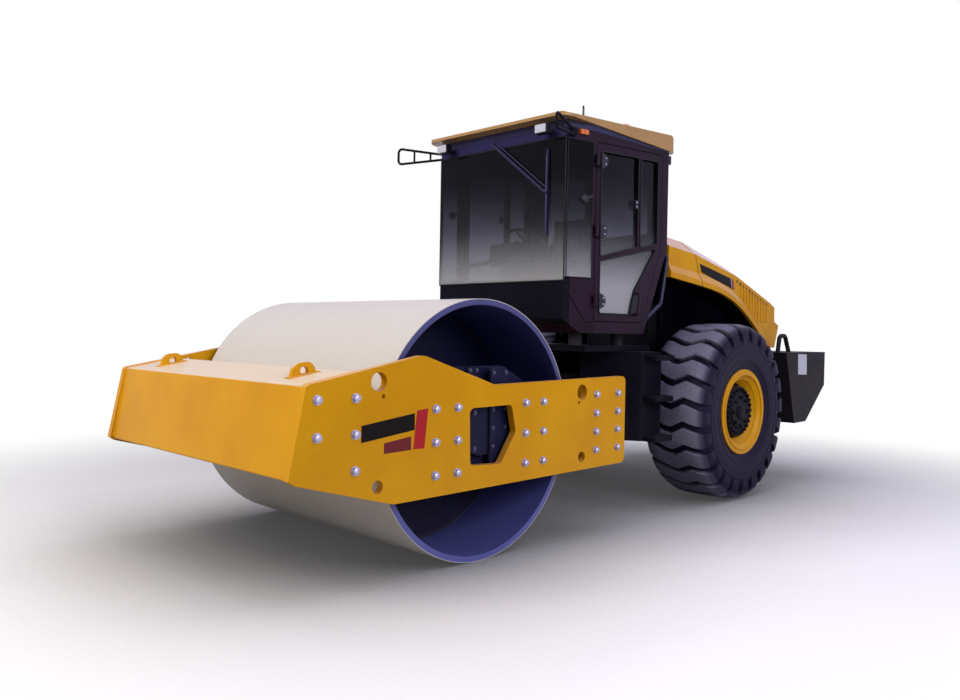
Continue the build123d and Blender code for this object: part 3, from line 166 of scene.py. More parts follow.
# A darker, flat copy of the black enamel on the side panels: painted shade where the hood shadows them
painted_shade_enamel = enamel("painted_shade_black_enamel", "#050309", "#09060F", 0.6, 0.0, 0.0, 0.0)
# Dark aubergine enamel on the pressed cab panels
cab_enamel = enamel("aubergine_cab_enamel", "#1A0A18", "#241024", 0.34, 0.10, 0.0, 0.05)
# Slate-violet enamel on tubes and the roof header, with a soft sheen that catches the sky; the violet in its colour
# is partly a painted reflection of the lavender sky on these dark parts
slate_and_sky_sheen_enamel = enamel("slate_violet_sky_sheen_enamel", "#24224A", "#1C1A38", 0.30, 0.25, 0.0, 0.10)
# Dark navy enamel on the drum's heads and supports
navy_enamel = enamel("navy_enamel", "#0E0F28", "#141636", 0.40, 0.10, 0.03, 0.08)


def repainted(material, share, colour):
    """A second colour laid over a material by a share from 0 to 1; gives the shader."""
    tree = material.node_tree
    shader = [node for node in tree.nodes if node.bl_idname == "ShaderNodeBsdfPrincipled"][0]
    paint = shader.inputs["Base Color"].links[0].from_socket
    mixed = add(tree, "ShaderNodeMix", {0: share, 6: paint, 7: linear(colour)}, data_type="RGBA")
    feed(tree, shader, {"Base Color": mixed})
    return shader


def cab_front_enamel():
    """Satin black below the windscreen; slate-violet on the band above it, the violet partly a painted reflection of
    the sky.
    """
    material = enamel("black_and_slate_enamel", *BLACK, 0.42, 0.05, 0.02, 0.06)
    tree = material.node_tree
    place = add(tree, "ShaderNodeTexCoord").outputs["Object"]
    height = add(tree, "ShaderNodeSeparateXYZ", {"Vector": place}).outputs["Z"]
    # The band's violet is partly a painted reflection of the sky
    slate_and_sky_sheen_band = add(tree, "ShaderNodeMapRange", {"Value": height, "From Min": 2.80, "From Max": 2.95})
    repainted(material, slate_and_sky_sheen_band, "#2E2C54")
    return material


def lined_hood():
    """Chrome-yellow enamel under a glossy coat that mirrors the sky; black lining on the inner faces."""
    material = enamel("lined_hood_enamel", *YELLOW, 0.34, 0.13, 0.02, 0.12)
    tree = material.node_tree
    point = add(tree, "ShaderNodeTexCoord").outputs
    place = add(tree, "ShaderNodeSeparateXYZ", {"Vector": point["Object"]}).outputs
    facing = add(tree, "ShaderNodeSeparateXYZ", {"Vector": point["Normal"]}).outputs
    outward = add(tree, "ShaderNodeMath", {0: place["Y"], 1: facing["Y"]}, operation="MULTIPLY")
    turned_in = add(tree, "ShaderNodeMath", {0: outward, 1: -0.05}, operation="LESS_THAN")
    turned_down = add(tree, "ShaderNodeMath", {0: facing["Z"], 1: -0.05}, operation="LESS_THAN")
    inner = add(tree, "ShaderNodeMath", {0: turned_in, 1: turned_down}, operation="MAXIMUM")
    # The back wall's inner face looks ahead
    turned_ahead = add(tree, "ShaderNodeMath", {0: facing["X"], 1: 0.3}, operation="GREATER_THAN")
    behind = add(tree, "ShaderNodeMath", {0: place["X"], 1: AXLE_X}, operation="LESS_THAN")
    back_wall = add(tree, "ShaderNodeMath", {0: turned_ahead, 1: behind}, operation="MULTIPLY")
    inner = add(tree, "ShaderNodeMath", {0: inner, 1: back_wall}, operation="MAXIMUM")
    away = add(tree, "ShaderNodeMath", {0: place["Y"]}, operation="ABSOLUTE")
    within = add(tree, "ShaderNodeMath", {0: away, 1: HOOD_FACE - 0.004}, operation="LESS_THAN")
    lining = add(tree, "ShaderNodeMath", {0: inner, 1: within}, operation="MULTIPLY")
    shader = repainted(material, lining, "#08060C")
    # The coat keeps its shine on faces that look up; road film dulls the sides
    shine = add(tree, "ShaderNodeMapRange", {"Value": facing["Z"], "From Min": 0.15, "From Max": 0.45})
    feed(tree, shader, {"Coat Weight": shine, "Coat IOR": 1.3, "Coat Roughness": 0.12})
    return material


def from_axis(tree, place, x, z):
    """A point's offset from a crosswise axis, and its distance from that axis."""
    offset = add(tree, "ShaderNodeVectorMath", {0: place, 1: (x, 0, z)}, operation="SUBTRACT")
    across = add(tree, "ShaderNodeVectorMath", {0: offset, 1: (1, 0, 1)}, operation="MULTIPLY")
    return offset, add(tree, "ShaderNodeVectorMath", {0: across}, operation="LENGTH")


def rolled_steel():
    """Drum shell: rolled steel polished pale outside, navy enamel on its ends and inside."""
    material, tree, shader, place = start_material("rolled_drum_steel")
    offset, radius = from_axis(tree, place, DRUM_X, DRUM_Z)
    outside = add(tree, "ShaderNodeMapRange", {"Value": radius, "From Min": 0.8440, "From Max": 0.8475})
    # Rolling marks run round the drum, in bands some 25 mm wide
    bands = add(tree, "ShaderNodeMapping", {"Vector": offset, "Scale": (0.6, 40.0, 0.6)})
    marks = add(tree, "ShaderNodeTexNoise", {"Vector": bands, "Scale": 1.0, "Detail": 5.0})
    stains = add(tree, "ShaderNodeTexNoise", {"Vector": place, "Scale": 1 / 0.5, "Detail": 6.0})
    bright = add(tree, "ShaderNodeMix", {0: marks, 6: linear("#D6D2CA"), 7: linear("#C9C5BC")},
                 data_type="RGBA")
    steel = add(tree, "ShaderNodeMix", {0: stains, 6: bright, 7: linear("#CDC8BF")}, data_type="RGBA")
    # The inside is palest low down: painted light thrown up from below, together with settled dust
    height = add(tree, "ShaderNodeSeparateXYZ", {"Vector": place}).outputs["Z"]
    underlight_and_dust = add(tree, "ShaderNodeMapRange", {"Value": height, "From Min": 0.9, "From Max": 0.05},
                  interpolation_type="SMOOTHSTEP")
    navy = add(tree, "ShaderNodeMix", {0: underlight_and_dust, 6: linear("#34376E"), 7: linear("#585C9E")},
               data_type="RGBA")
    colour = add(tree, "ShaderNodeMix", {0: outside, 6: navy, 7: steel}, data_type="RGBA")
    rough = add(tree, "ShaderNodeMapRange",
                {"Value": marks, "From Min": 0.3, "From Max": 0.7, "To Min": 0.36, "To Max": 0.48})
    edge = add(tree, "ShaderNodeBevel", {"Radius": 0.006}, samples=4)
    bump = add(tree, "ShaderNodeBump",
               {"Strength": 0.08, "Distance": 0.001, "Height": marks, "Normal": edge})
    feed(tree, shader, {"Base Color": colour, "Roughness": rough, "Normal": bump})
    return material


def tyre_rubber():
    """Moulded tyre: violet-black sidewall with fine rings, treads greyed with ground-in dust."""
    material, tree, shader, place = start_material("dusty_tyre_rubber")
    radius = from_axis(tree, place, AXLE_X, AXLE_Z)[1]
    tread = add(tree, "ShaderNodeAttribute", attribute_name="dusted").outputs["Fac"]
    grit = add(tree, "ShaderNodeTexNoise",
               {"Vector": place, "Scale": 1 / 0.012, "Detail": 8.0, "Roughness": 0.75})
    patches = add(tree, "ShaderNodeTexNoise", {"Vector": place, "Scale": 1 / 0.15, "Detail": 4.0})
    dusty = add(tree, "ShaderNodeMapRange",
                {"Value": grit, "From Min": 0.3, "From Max": 0.65, "To Min": 0.35, "To Max": 1.0})
    share = add(tree, "ShaderNodeMath", {0: tread, 1: dusty}, operation="MULTIPLY")
    side = add(tree, "ShaderNodeMix", {0: patches, 6: linear("#1D1730"), 7: linear("#151022")},
               data_type="RGBA")
    colour = add(tree, "ShaderNodeMix", {0: share, 6: side, 7: linear("#7F7D92")}, data_type="RGBA")
    # Mould rings every 9 mm on the sidewall
    rings = add(tree, "ShaderNodeMath", {0: radius, 1: 2 * math.pi / 0.009}, operation="MULTIPLY")
    wave = add(tree, "ShaderNodeMath", {0: rings}, operation="SINE")
    ring_zone = add(tree, "ShaderNodeMapRange",
                    {"Value": radius, "From Min": 0.47, "From Max": 0.44, "To Min": 0.0, "To Max": 1.0})
    ridge = add(tree, "ShaderNodeMath", {0: wave, 1: ring_zone}, operation="MULTIPLY")
    relief = add(tree, "ShaderNodeMath", {0: grit, 1: 0.8, 2: ridge}, operation="MULTIPLY_ADD")
    edge = add(tree, "ShaderNodeBevel", {"Radius": 0.010}, samples=4)
    bump = add(tree, "ShaderNodeBump",
               {"Strength": 0.35, "Distance": 0.002, "Height": relief, "Normal": edge})
    rough = add(tree, "ShaderNodeMapRange", {"Value": share, "To Min": 0.52, "To Max": 0.85})
    feed(tree, shader, {"Base Color": colour, "Roughness": rough, "Normal": bump,
                        "Specular IOR Level": 0.1})
    return material


def tinted_glass():
    """Toughened cab glass: shaded dark at the top, clearing to a pale grey at the bottom."""
    material, tree, shader, place = start_material("shaded_safety_glass")
    height = add(tree, "ShaderNodeSeparateXYZ", {"Vector": place}).outputs["Z"]
    level = add(tree, "ShaderNodeMapRange", {"Value": height, "From Min": 1.9, "From Max": 2.8})
    colour = add(tree, "ShaderNodeValToRGB", {"Fac": level})
    stops = colour.color_ramp.elements
    stops.new(0.5)
    for stop, tint in zip(stops, ("#CBCCCE", "#8B8D90", "#34373A")):
        stop.color = linear(tint)
    # A thin film of dust on the lower glass
    clear = add(tree, "ShaderNodeMapRange",
                {"Value": height, "From Min": 1.75, "From Max": 2.45, "To Min": 0.5, "To Max": 0.96},
                interpolation_type="SMOOTHSTEP")
    film = add(tree, "ShaderNodeTexNoise", {"Vector": place, "Scale": 1 / 0.2, "Detail": 5.0})
    rough = add(tree, "ShaderNodeMapRange",
                {"Value": film, "From Min": 0.4, "From Max": 0.7, "To Min": 0.01, "To Max": 0.05})
    # The refraction is low, because the cab stands out dark with hardly a reflection
    feed(tree, shader, {"Base Color": colour, "Roughness": rough, "Transmission Weight": clear, "IOR": 1.18})
    return material


def moulded(name, base, shade, roughness, grain, relief, gloss=0.25):
    """Moulded plastic or rubber with a fine surface grain."""
    material, tree, shader, place = start_material(name)
    skin = add(tree, "ShaderNodeTexNoise", {"Vector": place, "Scale": 1 / grain, "Detail": 4.0})
    cloud = add(tree, "ShaderNodeTexNoise", {"Vector": place, "Scale": 1 / 0.15, "Detail": 3.0})
    colour = add(tree, "ShaderNodeMix", {0: cloud, 6: linear(base), 7: linear(shade)}, data_type="RGBA")
    rough = add(tree, "ShaderNodeMapRange", {"Value": skin, "From Min": 0.3, "From Max": 0.7,
                                             "To Min": roughness - 0.05, "To Max": roughness + 0.08})
    bump = add(tree, "ShaderNodeBump", {"Strength": relief, "Distance": 0.001, "Height": skin})
    feed(tree, shader, {"Base Color": colour, "Roughness": rough, "Normal": bump,
                        "Specular IOR Level": gloss})
    return material


def bare_metal(name, base, shade, roughness, grain):
    """Plated or ground metal with a fine cloud in tone and polish."""
    material, tree, shader, place = start_material(name)
    skin = add(tree, "ShaderNodeTexNoise", {"Vector": place, "Scale": 1 / grain, "Detail": 5.0})
    colour = add(tree, "ShaderNodeMix", {0: skin, 6: linear(base), 7: linear(shade)}, data_type="RGBA")
    rough = add(tree, "ShaderNodeMapRange", {"Value": skin, "From Min": 0.3, "From Max": 0.7,
                                             "To Min": roughness - 0.05, "To Max": roughness + 0.08})
    feed(tree, shader, {"Base Color": colour, "Roughness": rough, "Metallic": 1.0})
    return material


def woven_cloth():
    """Flat-woven seat cloth, charcoal with paler flecks; threads drawn at 4 mm so they show."""
    material, tree, shader, place = start_material("woven_seat_cloth")
    warp, weft = (add(tree, "ShaderNodeTexWave",
                      {"Vector": place, "Scale": WAVE_PITCH / 0.004, "Distortion": 0.6},
                      bands_direction=direction).outputs["Fac"] for direction in ("Y", "DIAGONAL"))
    weave = add(tree, "ShaderNodeMath", {0: warp, 1: weft}, operation="MAXIMUM")
    flecks = add(tree, "ShaderNodeTexNoise", {"Vector": place, "Scale": 1 / 0.01, "Detail": 3.0})
    tint = add(tree, "ShaderNodeMath", {0: weave, 1: flecks}, operation="MULTIPLY")
    colour = add(tree, "ShaderNodeMix", {0: tint, 6: linear("#23252B"), 7: linear("#5A6070")},
                 data_type="RGBA")
    bump = add(tree, "ShaderNodeBump", {"Strength": 0.5, "Distance": 0.001, "Height": weave})
    feed(tree, shader, {"Base Color": colour, "Normal": bump, "Roughness": 0.9, "Sheen Weight": 0.3})
    return material


def lens(name, base, shade, ribs):
    """Moulded lamp lens: coated plastic with fine upright flutes."""
    material, tree, shader, place = start_material(name)
    flutes = add(tree, "ShaderNodeTexWave", {"Vector": place, "Scale": WAVE_PITCH / ribs},
                 bands_direction="Y").outputs["Fac"]
    colour = add(tree, "ShaderNodeMix", {0: flutes, 6: linear(base), 7: linear(shade)}, data_type="RGBA")
    bump = add(tree, "ShaderNodeBump", {"Strength": 0.4, "Distance": 0.001, "Height": flutes})
    feed(tree, shader, {"Base Color": colour, "Normal": bump, "Roughness": 0.12, "Coat Weight": 0.6})
    return material


hood_enamel = lined_hood()
front_enamel = cab_front_enamel()
drum_steel = rolled_steel()
tyre_black = tyre_rubber()
cab_glass = tinted_glass()
# Gel-coated moulded roof cap: tan-yellow, glossy
roof_gel = moulded("gel_coat_roof", "#B68F58", "#A07C48", 0.26, 0.01, 0.03)
buffer_rubber = moulded("moulded_buffer_rubber", "#16151A", "#1E1C24", 0.7, 0.004, 0.3)
seal_rubber = moulded("extruded_seal_rubber", "#0D0C11", "#15131A", 0.6, 0.004, 0.2)
# Injection-moulded black ABS with a leather grain about 3 mm across
grained_abs = moulded("grained_black_abs", "#191A20", "#22232B", 0.5, 0.003, 0.35)
lamp_abs = moulded("lamp_housing_abs", "#121118", "#191822", 0.35, 0.005, 0.1)
badge_black = moulded("badge_black_vinyl", "#14110F", "#1A1614", 0.35, 0.01, 0.05, 0.06)
badge_red = moulded("badge_red_vinyl", "#B5121B", "#A00F18", 0.35, 0.01, 0.05)
badge_dull_red = moulded("badge_dark_red_vinyl", "#6E1218", "#5E0F15", 0.35, 0.01, 0.05)
badge_grey = moulded("badge_grey_vinyl", "#9A9AA2", "#8C8C96", 0.35, 0.01, 0.05)
label_white = moulded("label_white_vinyl", "#C9CAD8", "#BFC0D0", 0.4, 0.01, 0.05)
# Bright zinc plate: pale lavender grey, soft sparkle
zinc = bare_metal("bright_zinc_plate", "#B9B8CC", "#A3A2BA", 0.42, 0.006)
# A darker, duller copy of the zinc plate on bolts inside the frame: painted shade
shade_darkened_zinc = bare_metal("shade_darkened_zinc_plate", "#5E5D72", "#4C4B60", 0.5, 0.006)
hard_chrome = bare_metal("hard_chrome", "#D8D9DC", "#C8CACF", 0.10, 0.02)
cast_iron = moulded("painted_cast_iron", "#2C2B30", "#37363C", 0.6, 0.006, 0.5)
seat_cloth = woven_cloth()
amber_lens = lens("amber_lens", "#E0760C", "#C85F06", 0.008)
beacon_lens = lens("orange_red_beacon_lens", "#D8431F", "#B83012", 0.012)
clear_lens = lens("fluted_clear_lens", "#D9D8E2", "#B9B8C8", 0.010)

FINISHES = {
    "yellow_paint": yellow_enamel, "black_paint": black_enamel, "cab_paint": cab_enamel,
    "drum_paint": navy_enamel, "drum_steel": drum_steel, "rubber": buffer_rubber, "tyre": tyre_black,
    "rod_chrome": hard_chrome, "engine_iron": cast_iron, "roof_gloss": roof_gel, "glass": cab_glass,
    "plastic": grained_abs, "seat_cover": seat_cloth, "lamp_plastic": lamp_abs, "amber_lens": amber_lens,
    "beacon_lens": beacon_lens}
OWN_FINISHES = {
    "front_beam": sanded_enamel, "rim_left": rim_enamel, "rim_right": rim_enamel,
    "cab_header": slate_and_sky_sheen_enamel, "handrails": slate_and_sky_sheen_enamel, "wiper": slate_and_sky_sheen_enamel, "cab_front": front_enamel,
    "hood": hood_enamel, "hood_cowl": hood_enamel, "engine_side_panels": painted_shade_enamel,
    "counterweight": weight_enamel}
for subpart in frame["record"]["subparts"]:
    node = subpart["node"]
    nodes[node].material_slots[0].material = OWN_FINISHES.get(node, FINISHES[subpart["material_slot"]])

# Makers of meshes


def linked(name, data):
    """A new object in the scene."""
    made = bpy.data.objects.new(name, data)
    bpy.context.scene.collection.objects.link(made)
    return made


def shaped(shape, name):
    """A worked shape as a plain mesh."""
    mesh = bpy.data.meshes.new(name)
    shape.to_mesh(mesh)
    shape.free()
    return mesh


def place_mesh(name, mesh, body, slot, *materials):
    """A finished mesh as a piece that rides on a body."""
    piece = linked(name, mesh)
    for material in materials:
        if material.name not in mesh.materials:
            mesh.materials.append(material)
    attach(piece, body)
    return piece


def settled_mesh(piece):
    """The evaluated shape of an object as a plain mesh; the object is removed."""
    bpy.context.view_layer.update()
    shape = piece.evaluated_get(bpy.context.evaluated_depsgraph_get())
    mesh = bpy.data.meshes.new_from_object(shape)
    data = piece.data
    bpy.data.objects.remove(piece)
    if isinstance(data, bpy.types.Curve):
        bpy.data.curves.remove(data)
    else:
        bpy.data.meshes.remove(data)
    return mesh


def joined(meshes):
    """Several meshes as one."""
    whole = bmesh.new()
    for mesh in meshes:
        whole.from_mesh(mesh)
        bpy.data.meshes.remove(mesh)
    return shaped(whole, "joined")


def tube(points, radius, cyclic=False, smooth_path=False):
    """Round bar or bead along points."""
    curve = bpy.data.curves.new("path", "CURVE")
    curve.dimensions = "3D"
    curve.bevel_depth = radius
    curve.bevel_resolution = 3
    curve.use_fill_caps = not cyclic
    spline = curve.splines.new("NURBS" if smooth_path else "POLY")
    spline.points.add(len(points) - 1)
    for point, place in zip(spline.points, points):
        point.co = (*place, 1)
    spline.use_cyclic_u = cyclic
    if smooth_path:
        spline.order_u = 3
        spline.use_endpoint_u = not cyclic
    return settled_mesh(linked("path", curve))


def slab(corners, thickness, bevel):
    """Flat plate from corners that run anticlockwise seen from outside, with softened outer edges."""
    shape = bmesh.new()
    base = shape.faces.new([shape.verts.new(corner) for corner in corners])
    base.normal_update()
    normal = base.normal.copy()
    raised = bmesh.ops.extrude_face_region(shape, geom=[base], use_keep_orig=True)["geom"]
    top = [g for g in raised if isinstance(g, bmesh.types.BMFace)]
    bmesh.ops.translate(shape, vec=normal * thickness,
                        verts=[g for g in raised if isinstance(g, bmesh.types.BMVert)])
    bmesh.ops.recalc_face_normals(shape, faces=shape.faces[:])
    bmesh.ops.bevel(shape, geom=top[0].edges[:], offset=bevel, segments=2, affect="EDGES")
    return shaped(shape, "slab")


def side_slab(corners, face, side, thickness, bevel):
    """Plate from (x, z) corners on the left or right face."""
    placed = [(x, side * face, z) for x, z in corners]
    turn = sum(a[0] * b[1] - b[0] * a[1] for a, b in zip(corners, corners[1:] + corners[:1]))
    return slab(placed if (turn < 0) == (side > 0) else placed[::-1], thickness, bevel)


def end_slab(corners, x, side, ahead, thickness, bevel):
    """Plate from anticlockwise (y, z) corners on a front or back face, mirrored for the right side."""
    placed = [(x, side * y, z) for y, z in corners]
    return slab(placed if (side > 0) == ahead else placed[::-1], thickness, bevel)


def oblong(low, high):
    """Corners of an upright rectangle."""
    return [low, (high[0], low[1]), high, (low[0], high[1])]


def smoothed(mesh, crease):
    """Smooth shading with edges sharper than an angle kept crisp, faces outward."""
    shape = bmesh.new()
    shape.from_mesh(mesh)
    bmesh.ops.recalc_face_normals(shape, faces=shape.faces[:])
    shape.to_mesh(mesh)
    shape.free()
    mesh.polygons.foreach_set("use_smooth", [True] * len(mesh.polygons))
    mesh.set_sharp_from_angle(angle=math.radians(crease))
    return mesh


def evenly(count):
    """Angles of evenly spaced steps round a circle."""
    return [2 * math.pi * step / count for step in range(count)]


def lathe(profile, centre, side, steps=48):
    """Ring or knob turned about a crosswise axis from (radius, outward) corners."""
    shape = bmesh.new()
    rings = []
    for turn in evenly(steps):
        rings.append([shape.verts.new((centre[0] + r * math.sin(turn), centre[1] + side * out,
                                       centre[2] + r * math.cos(turn))) for r, out in profile])
    for ring, after in zip(rings, rings[1:] + rings[:1]):
        for j in range(len(profile) - 1):
            shape.faces.new((ring[j], ring[j + 1], after[j + 1], after[j]))
    bmesh.ops.remove_doubles(shape, verts=shape.verts[:], dist=1e-5)
    return smoothed(shaped(shape, "turned"), 35)


def rounded(corners, radius, steps=4):
    """Flat outline with each corner drawn as an arc."""
    corners = [Vector(corner) for corner in corners]
    points = []
    for before, corner, after in zip(corners[-1:] + corners[:-1], corners, corners[1:] + corners[:1]):
        back = (before - corner).normalized()
        ahead = (after - corner).normalized()
        half = back.angle(ahead) / 2
        centre = corner + (back + ahead).normalized() * radius / math.sin(half)
        start = corner + back * radius / math.tan(half) - centre
        end = corner + ahead * radius / math.tan(half) - centre
        points += [tuple(centre + radius * start.slerp(end, step / steps)) for step in range(steps + 1)]
    return points


def points_mesh(spots):
    """Loose points from (place, direction) pairs, each with the direction that it faces."""
    mesh = bpy.data.meshes.new("points")
    mesh.from_pydata([place for place, direction in spots], [], [])
    facing = mesh.attributes.new("facing", "FLOAT_VECTOR", "POINT")
    for spot, (place, direction) in zip(facing.data, spots):
        spot.vector = direction
    return mesh


def round_axis(centre, radius, turns, side, out):
    """(place, direction) pairs on a circle about a crosswise axis."""
    return [((centre[0] + radius * math.sin(turn), centre[1] + side * out, centre[2] + radius * math.cos(turn)),
             (0, side, 0)) for turn in turns]


def grown(mesh, tree, sizes):
    """The plain mesh that a node tree makes from a mesh, with the tree's inputs set by name."""
    holder = linked("holder", mesh)
    modifier = holder.modifiers.new(tree.name, "NODES")
    modifier.node_group = tree
    for socket in tree.interface.items_tree:
        if socket.name in sizes:
            modifier[socket.identifier] = sizes[socket.name]
    return settled_mesh(holder)


def start_tree(name, shape, **sizes):
    """A node tree that takes a shape, sizes and a finish; gives the tree and its inputs."""
    tree = bpy.data.node_groups.new(name, "GeometryNodeTree")
    for title, kind in {shape: "Geometry", **sizes, "Finish": "Material"}.items():
        tree.interface.new_socket(title.replace("_", " "), in_out="INPUT", socket_type="NodeSocket" + kind)
    tree.interface.new_socket("Made", in_out="OUTPUT", socket_type="NodeSocketGeometry")
    return tree, add(tree, "NodeGroupInput").outputs


def end_tree(tree, given, shape):
    """The tree's last nodes: the shape takes its finish and goes out."""
    finished = add(tree, "GeometryNodeSetMaterial", {"Geometry": shape, "Material": given["Finish"]})
    add(tree, "NodeGroupOutput", {0: finished})
    return tree


def on_points(tree, given, shape):
    """Real copies of a shape, one on each point, turned to the point's own direction."""
    facing = add(tree, "GeometryNodeInputNamedAttribute", {"Name": "facing"}, data_type="FLOAT_VECTOR")
    turned = add(tree, "FunctionNodeAlignRotationToVector", {"Vector": facing}, axis="Z")
    spots = add(tree, "GeometryNodeMeshToPoints", {"Mesh": given["Places"]})
    copies = add(tree, "GeometryNodeInstanceOnPoints", {"Points": spots, "Instance": shape, "Rotation": turned})
    return end_tree(tree, given, add(tree, "GeometryNodeRealizeInstances", {"Geometry": copies}))


def bolt_tree():
    """Hex bolt heads on flat washers, one on each point, along the point's own direction."""
    tree, given = start_tree("bolt_heads", "Places", Head_Radius="Float", Head_Height="Float",
                             Washer_Radius="Float", Washer_Height="Float")
    washer = add(tree, "GeometryNodeMeshCylinder", {
        "Vertices": 16, "Radius": given["Washer Radius"], "Depth": given["Washer Height"]})
    head = add(tree, "GeometryNodeMeshCylinder", {
        "Vertices": 6, "Radius": given["Head Radius"], "Depth": given["Head Height"]})
    cap_height = add(tree, "ShaderNodeMath", {0: given["Head Height"], 1: 0.25}, operation="MULTIPLY")
    cap = add(tree, "GeometryNodeMeshCone", {
        "Vertices": 12, "Radius Top": 0.5, "Radius Bottom": 1.0, "Depth": cap_height})
    crown = add(tree, "ShaderNodeMath", {0: given["Head Radius"], 1: 0.82}, operation="MULTIPLY")
    cap_size = add(tree, "ShaderNodeCombineXYZ", {"X": crown, "Y": crown, "Z": 1.0})
    half_washer = add(tree, "ShaderNodeMath", {0: given["Washer Height"], 1: 0.5}, operation="MULTIPLY")
    half_head = add(tree, "ShaderNodeMath", {0: given["Head Height"], 1: 0.5, 2: given["Washer Height"]},
                    operation="MULTIPLY_ADD")
    top = add(tree, "ShaderNodeMath", {0: given["Head Height"], 1: given["Washer Height"]}, operation="ADD")
    whole = add(tree, "GeometryNodeJoinGeometry")
    for piece, level, size in ((washer, half_washer, (1, 1, 1)), (head, half_head, (1, 1, 1)),
                               (cap, top, cap_size)):
        lift = add(tree, "ShaderNodeCombineXYZ", {"Z": level})
        stacked = add(tree, "GeometryNodeTransform", {"Geometry": piece, "Translation": lift, "Scale": size})
        feed(tree, whole, {0: stacked})
    return on_points(tree, given, whole)


BOLTS = bolt_tree()


def bolts(name, spots, body, slot, material, head_radius, head_height, washer_radius, washer_height):
    """Bolt heads at (place, direction) pairs, as one mesh on a body."""
    heads = grown(points_mesh(spots), BOLTS, {
        "Head Radius": head_radius, "Head Height": head_height, "Washer Radius": washer_radius,
        "Washer Height": washer_height, "Finish": material})
    return place_mesh(name, heads, body, slot)


# Wheels: tread bars repeated round the axle, hub gear case, nuts, lock rings and valves

LUG_COUNT = 24
# Zigzag of a bar across the tread: sideways place, and its lead in shares of the pitch
ZIGZAG = ((-0.3075, -0.45), (-0.15, -0.1), (-0.02, 0.22), (0.12, -0.1), (0.3075, 0.18))
# Half profile from the crown to the bead: bar top (radius, sideways), groove floor, half width of the groove
TREAD = (((0.8000, 0.000), (0.7580, 0.000), 0.124), ((0.7995, 0.060), (0.7578, 0.060), 0.124),
         ((0.7990, 0.120), (0.7570, 0.120), 0.124), ((0.7975, 0.180), (0.7540, 0.178), 0.126),
         ((0.7930, 0.214), (0.7480, 0.206), 0.130), ((0.7820, 0.246), (0.7380, 0.228), 0.134),
         ((0.7640, 0.2755), (0.7220, 0.246), 0.140), ((0.7250, 0.2890), (0.6980, 0.262), 0.150),
         ((0.6900, 0.2970), (0.6720, 0.274), 0.170), ((0.6550, 0.2972), (0.6480, 0.283), 0.210),
         ((0.6330, 0.2950), (0.6330, 0.2915), 0.250))
WALL = ((0.612, 0.2935), (0.606, 0.2970), (0.594, 0.2970), (0.588, 0.2935), (0.550, 0.2950), (0.505, 0.2930),
        (0.478, 0.2885), (0.474, 0.2915), (0.466, 0.2905), (0.462, 0.2850), (0.438, 0.2780), (0.416, 0.2700),
        (0.402, 0.2665), (0.392, 0.2630), (0.389, 0.2630), (0.330, 0.2610), (0.322, 0.2500))
# Columns across a pitch, in shares of it: the groove's middle and floor, the bar's foot, chamfer and top
BAR_FOOT = 0.376
BAR_COLUMNS = (-0.5, -0.44, -BAR_FOOT, -0.352, -0.330, -0.20, -0.07, 0.07, 0.20, 0.330, 0.352, BAR_FOOT, 0.44)


def lead(sideways):
    """How far a bar runs ahead at a sideways place, in shares of the pitch."""
    for (y_low, t_low), (y_high, t_high) in zip(ZIGZAG, ZIGZAG[1:]):
        if sideways <= y_high:
            return t_low + (sideways - y_low) / (y_high - y_low) * (t_high - t_low)
    return ZIGZAG[-1][1]


def tread_pitch(side):
    """One pitch of the tyre, bead to bead, standing on the wheel's axis."""
    half = [*TREAD] + [(at, at, 0.25) for at in WALL]
    rows = [((r, -y), (q, -p), groove) for (r, y), (q, p), groove in reversed(half[1:])] + half
    shape = bmesh.new()
    grid = []
    marks = []
    for (top_r, top_y), (floor_r, floor_y), groove in rows:
        ahead = lead(top_y)
        line = []
        for share in (*BAR_COLUMNS, 0.5):
            # The groove widens down the shoulder
            spread = share * (0.5 - groove) / BAR_FOOT if abs(share) <= BAR_FOOT else share
            if BAR_FOOT < abs(share) < 0.5:
                spread = math.copysign(0.5 - groove / 2, share)
            rise = 0.0 if abs(share) >= BAR_FOOT else 1.0
            drop = 0.004 if 0.34 < abs(share) < 0.36 else 0.0
            radius = floor_r + rise * (top_r - floor_r) - (drop if top_r > floor_r else 0.0)
            sideways = floor_y + rise * (top_y - floor_y)
            turn = (spread + ahead) * 2 * math.pi / LUG_COUNT
            marks.append(rise * min(max((top_r - 0.755) / 0.03, 0.0), 1.0))
            line.append(shape.verts.new((radius * math.sin(turn), side * sideways, radius * math.cos(turn))))
        grid.append(line)
    for row, after in zip(grid, grid[1:] + grid[:1]):
        for j in range(len(BAR_COLUMNS)):
            shape.faces.new((row[j], row[j + 1], after[j + 1], after[j]))
    mesh = shaped(shape, "tread_pitch")
    dusted = mesh.attributes.new("dusted", "FLOAT", "POINT")
    dusted.data.foreach_set("value", marks)
    return mesh


def tyre_tree():
    """A tread pitch repeated round the axle and joined up."""
    tree, given = start_tree("tread_round_axle", "Pitch", Count="Int", Centre="Vector")
    spots = add(tree, "GeometryNodePoints", {"Count": given["Count"]})
    step = add(tree, "GeometryNodeInputIndex")
    share = add(tree, "ShaderNodeMath", {0: step, 1: given["Count"]}, operation="DIVIDE")
    turn = add(tree, "ShaderNodeMath", {0: share, 1: 2 * math.pi}, operation="MULTIPLY")
    about_axle = add(tree, "ShaderNodeCombineXYZ", {"Y": turn})
    copies = add(tree, "GeometryNodeInstanceOnPoints",
                 {"Points": spots, "Instance": given["Pitch"], "Rotation": about_axle})
    real = add(tree, "GeometryNodeRealizeInstances", {"Geometry": copies})
    whole = add(tree, "GeometryNodeMergeByDistance", {"Geometry": real, "Distance": 0.0003})
    moved = add(tree, "GeometryNodeTransform", {"Geometry": whole, "Translation": given["Centre"]})
    return end_tree(tree, given, moved)


TREAD_ROUND_AXLE = tyre_tree()
HUB_FACE = 0.232
CAP_FACE = 0.246
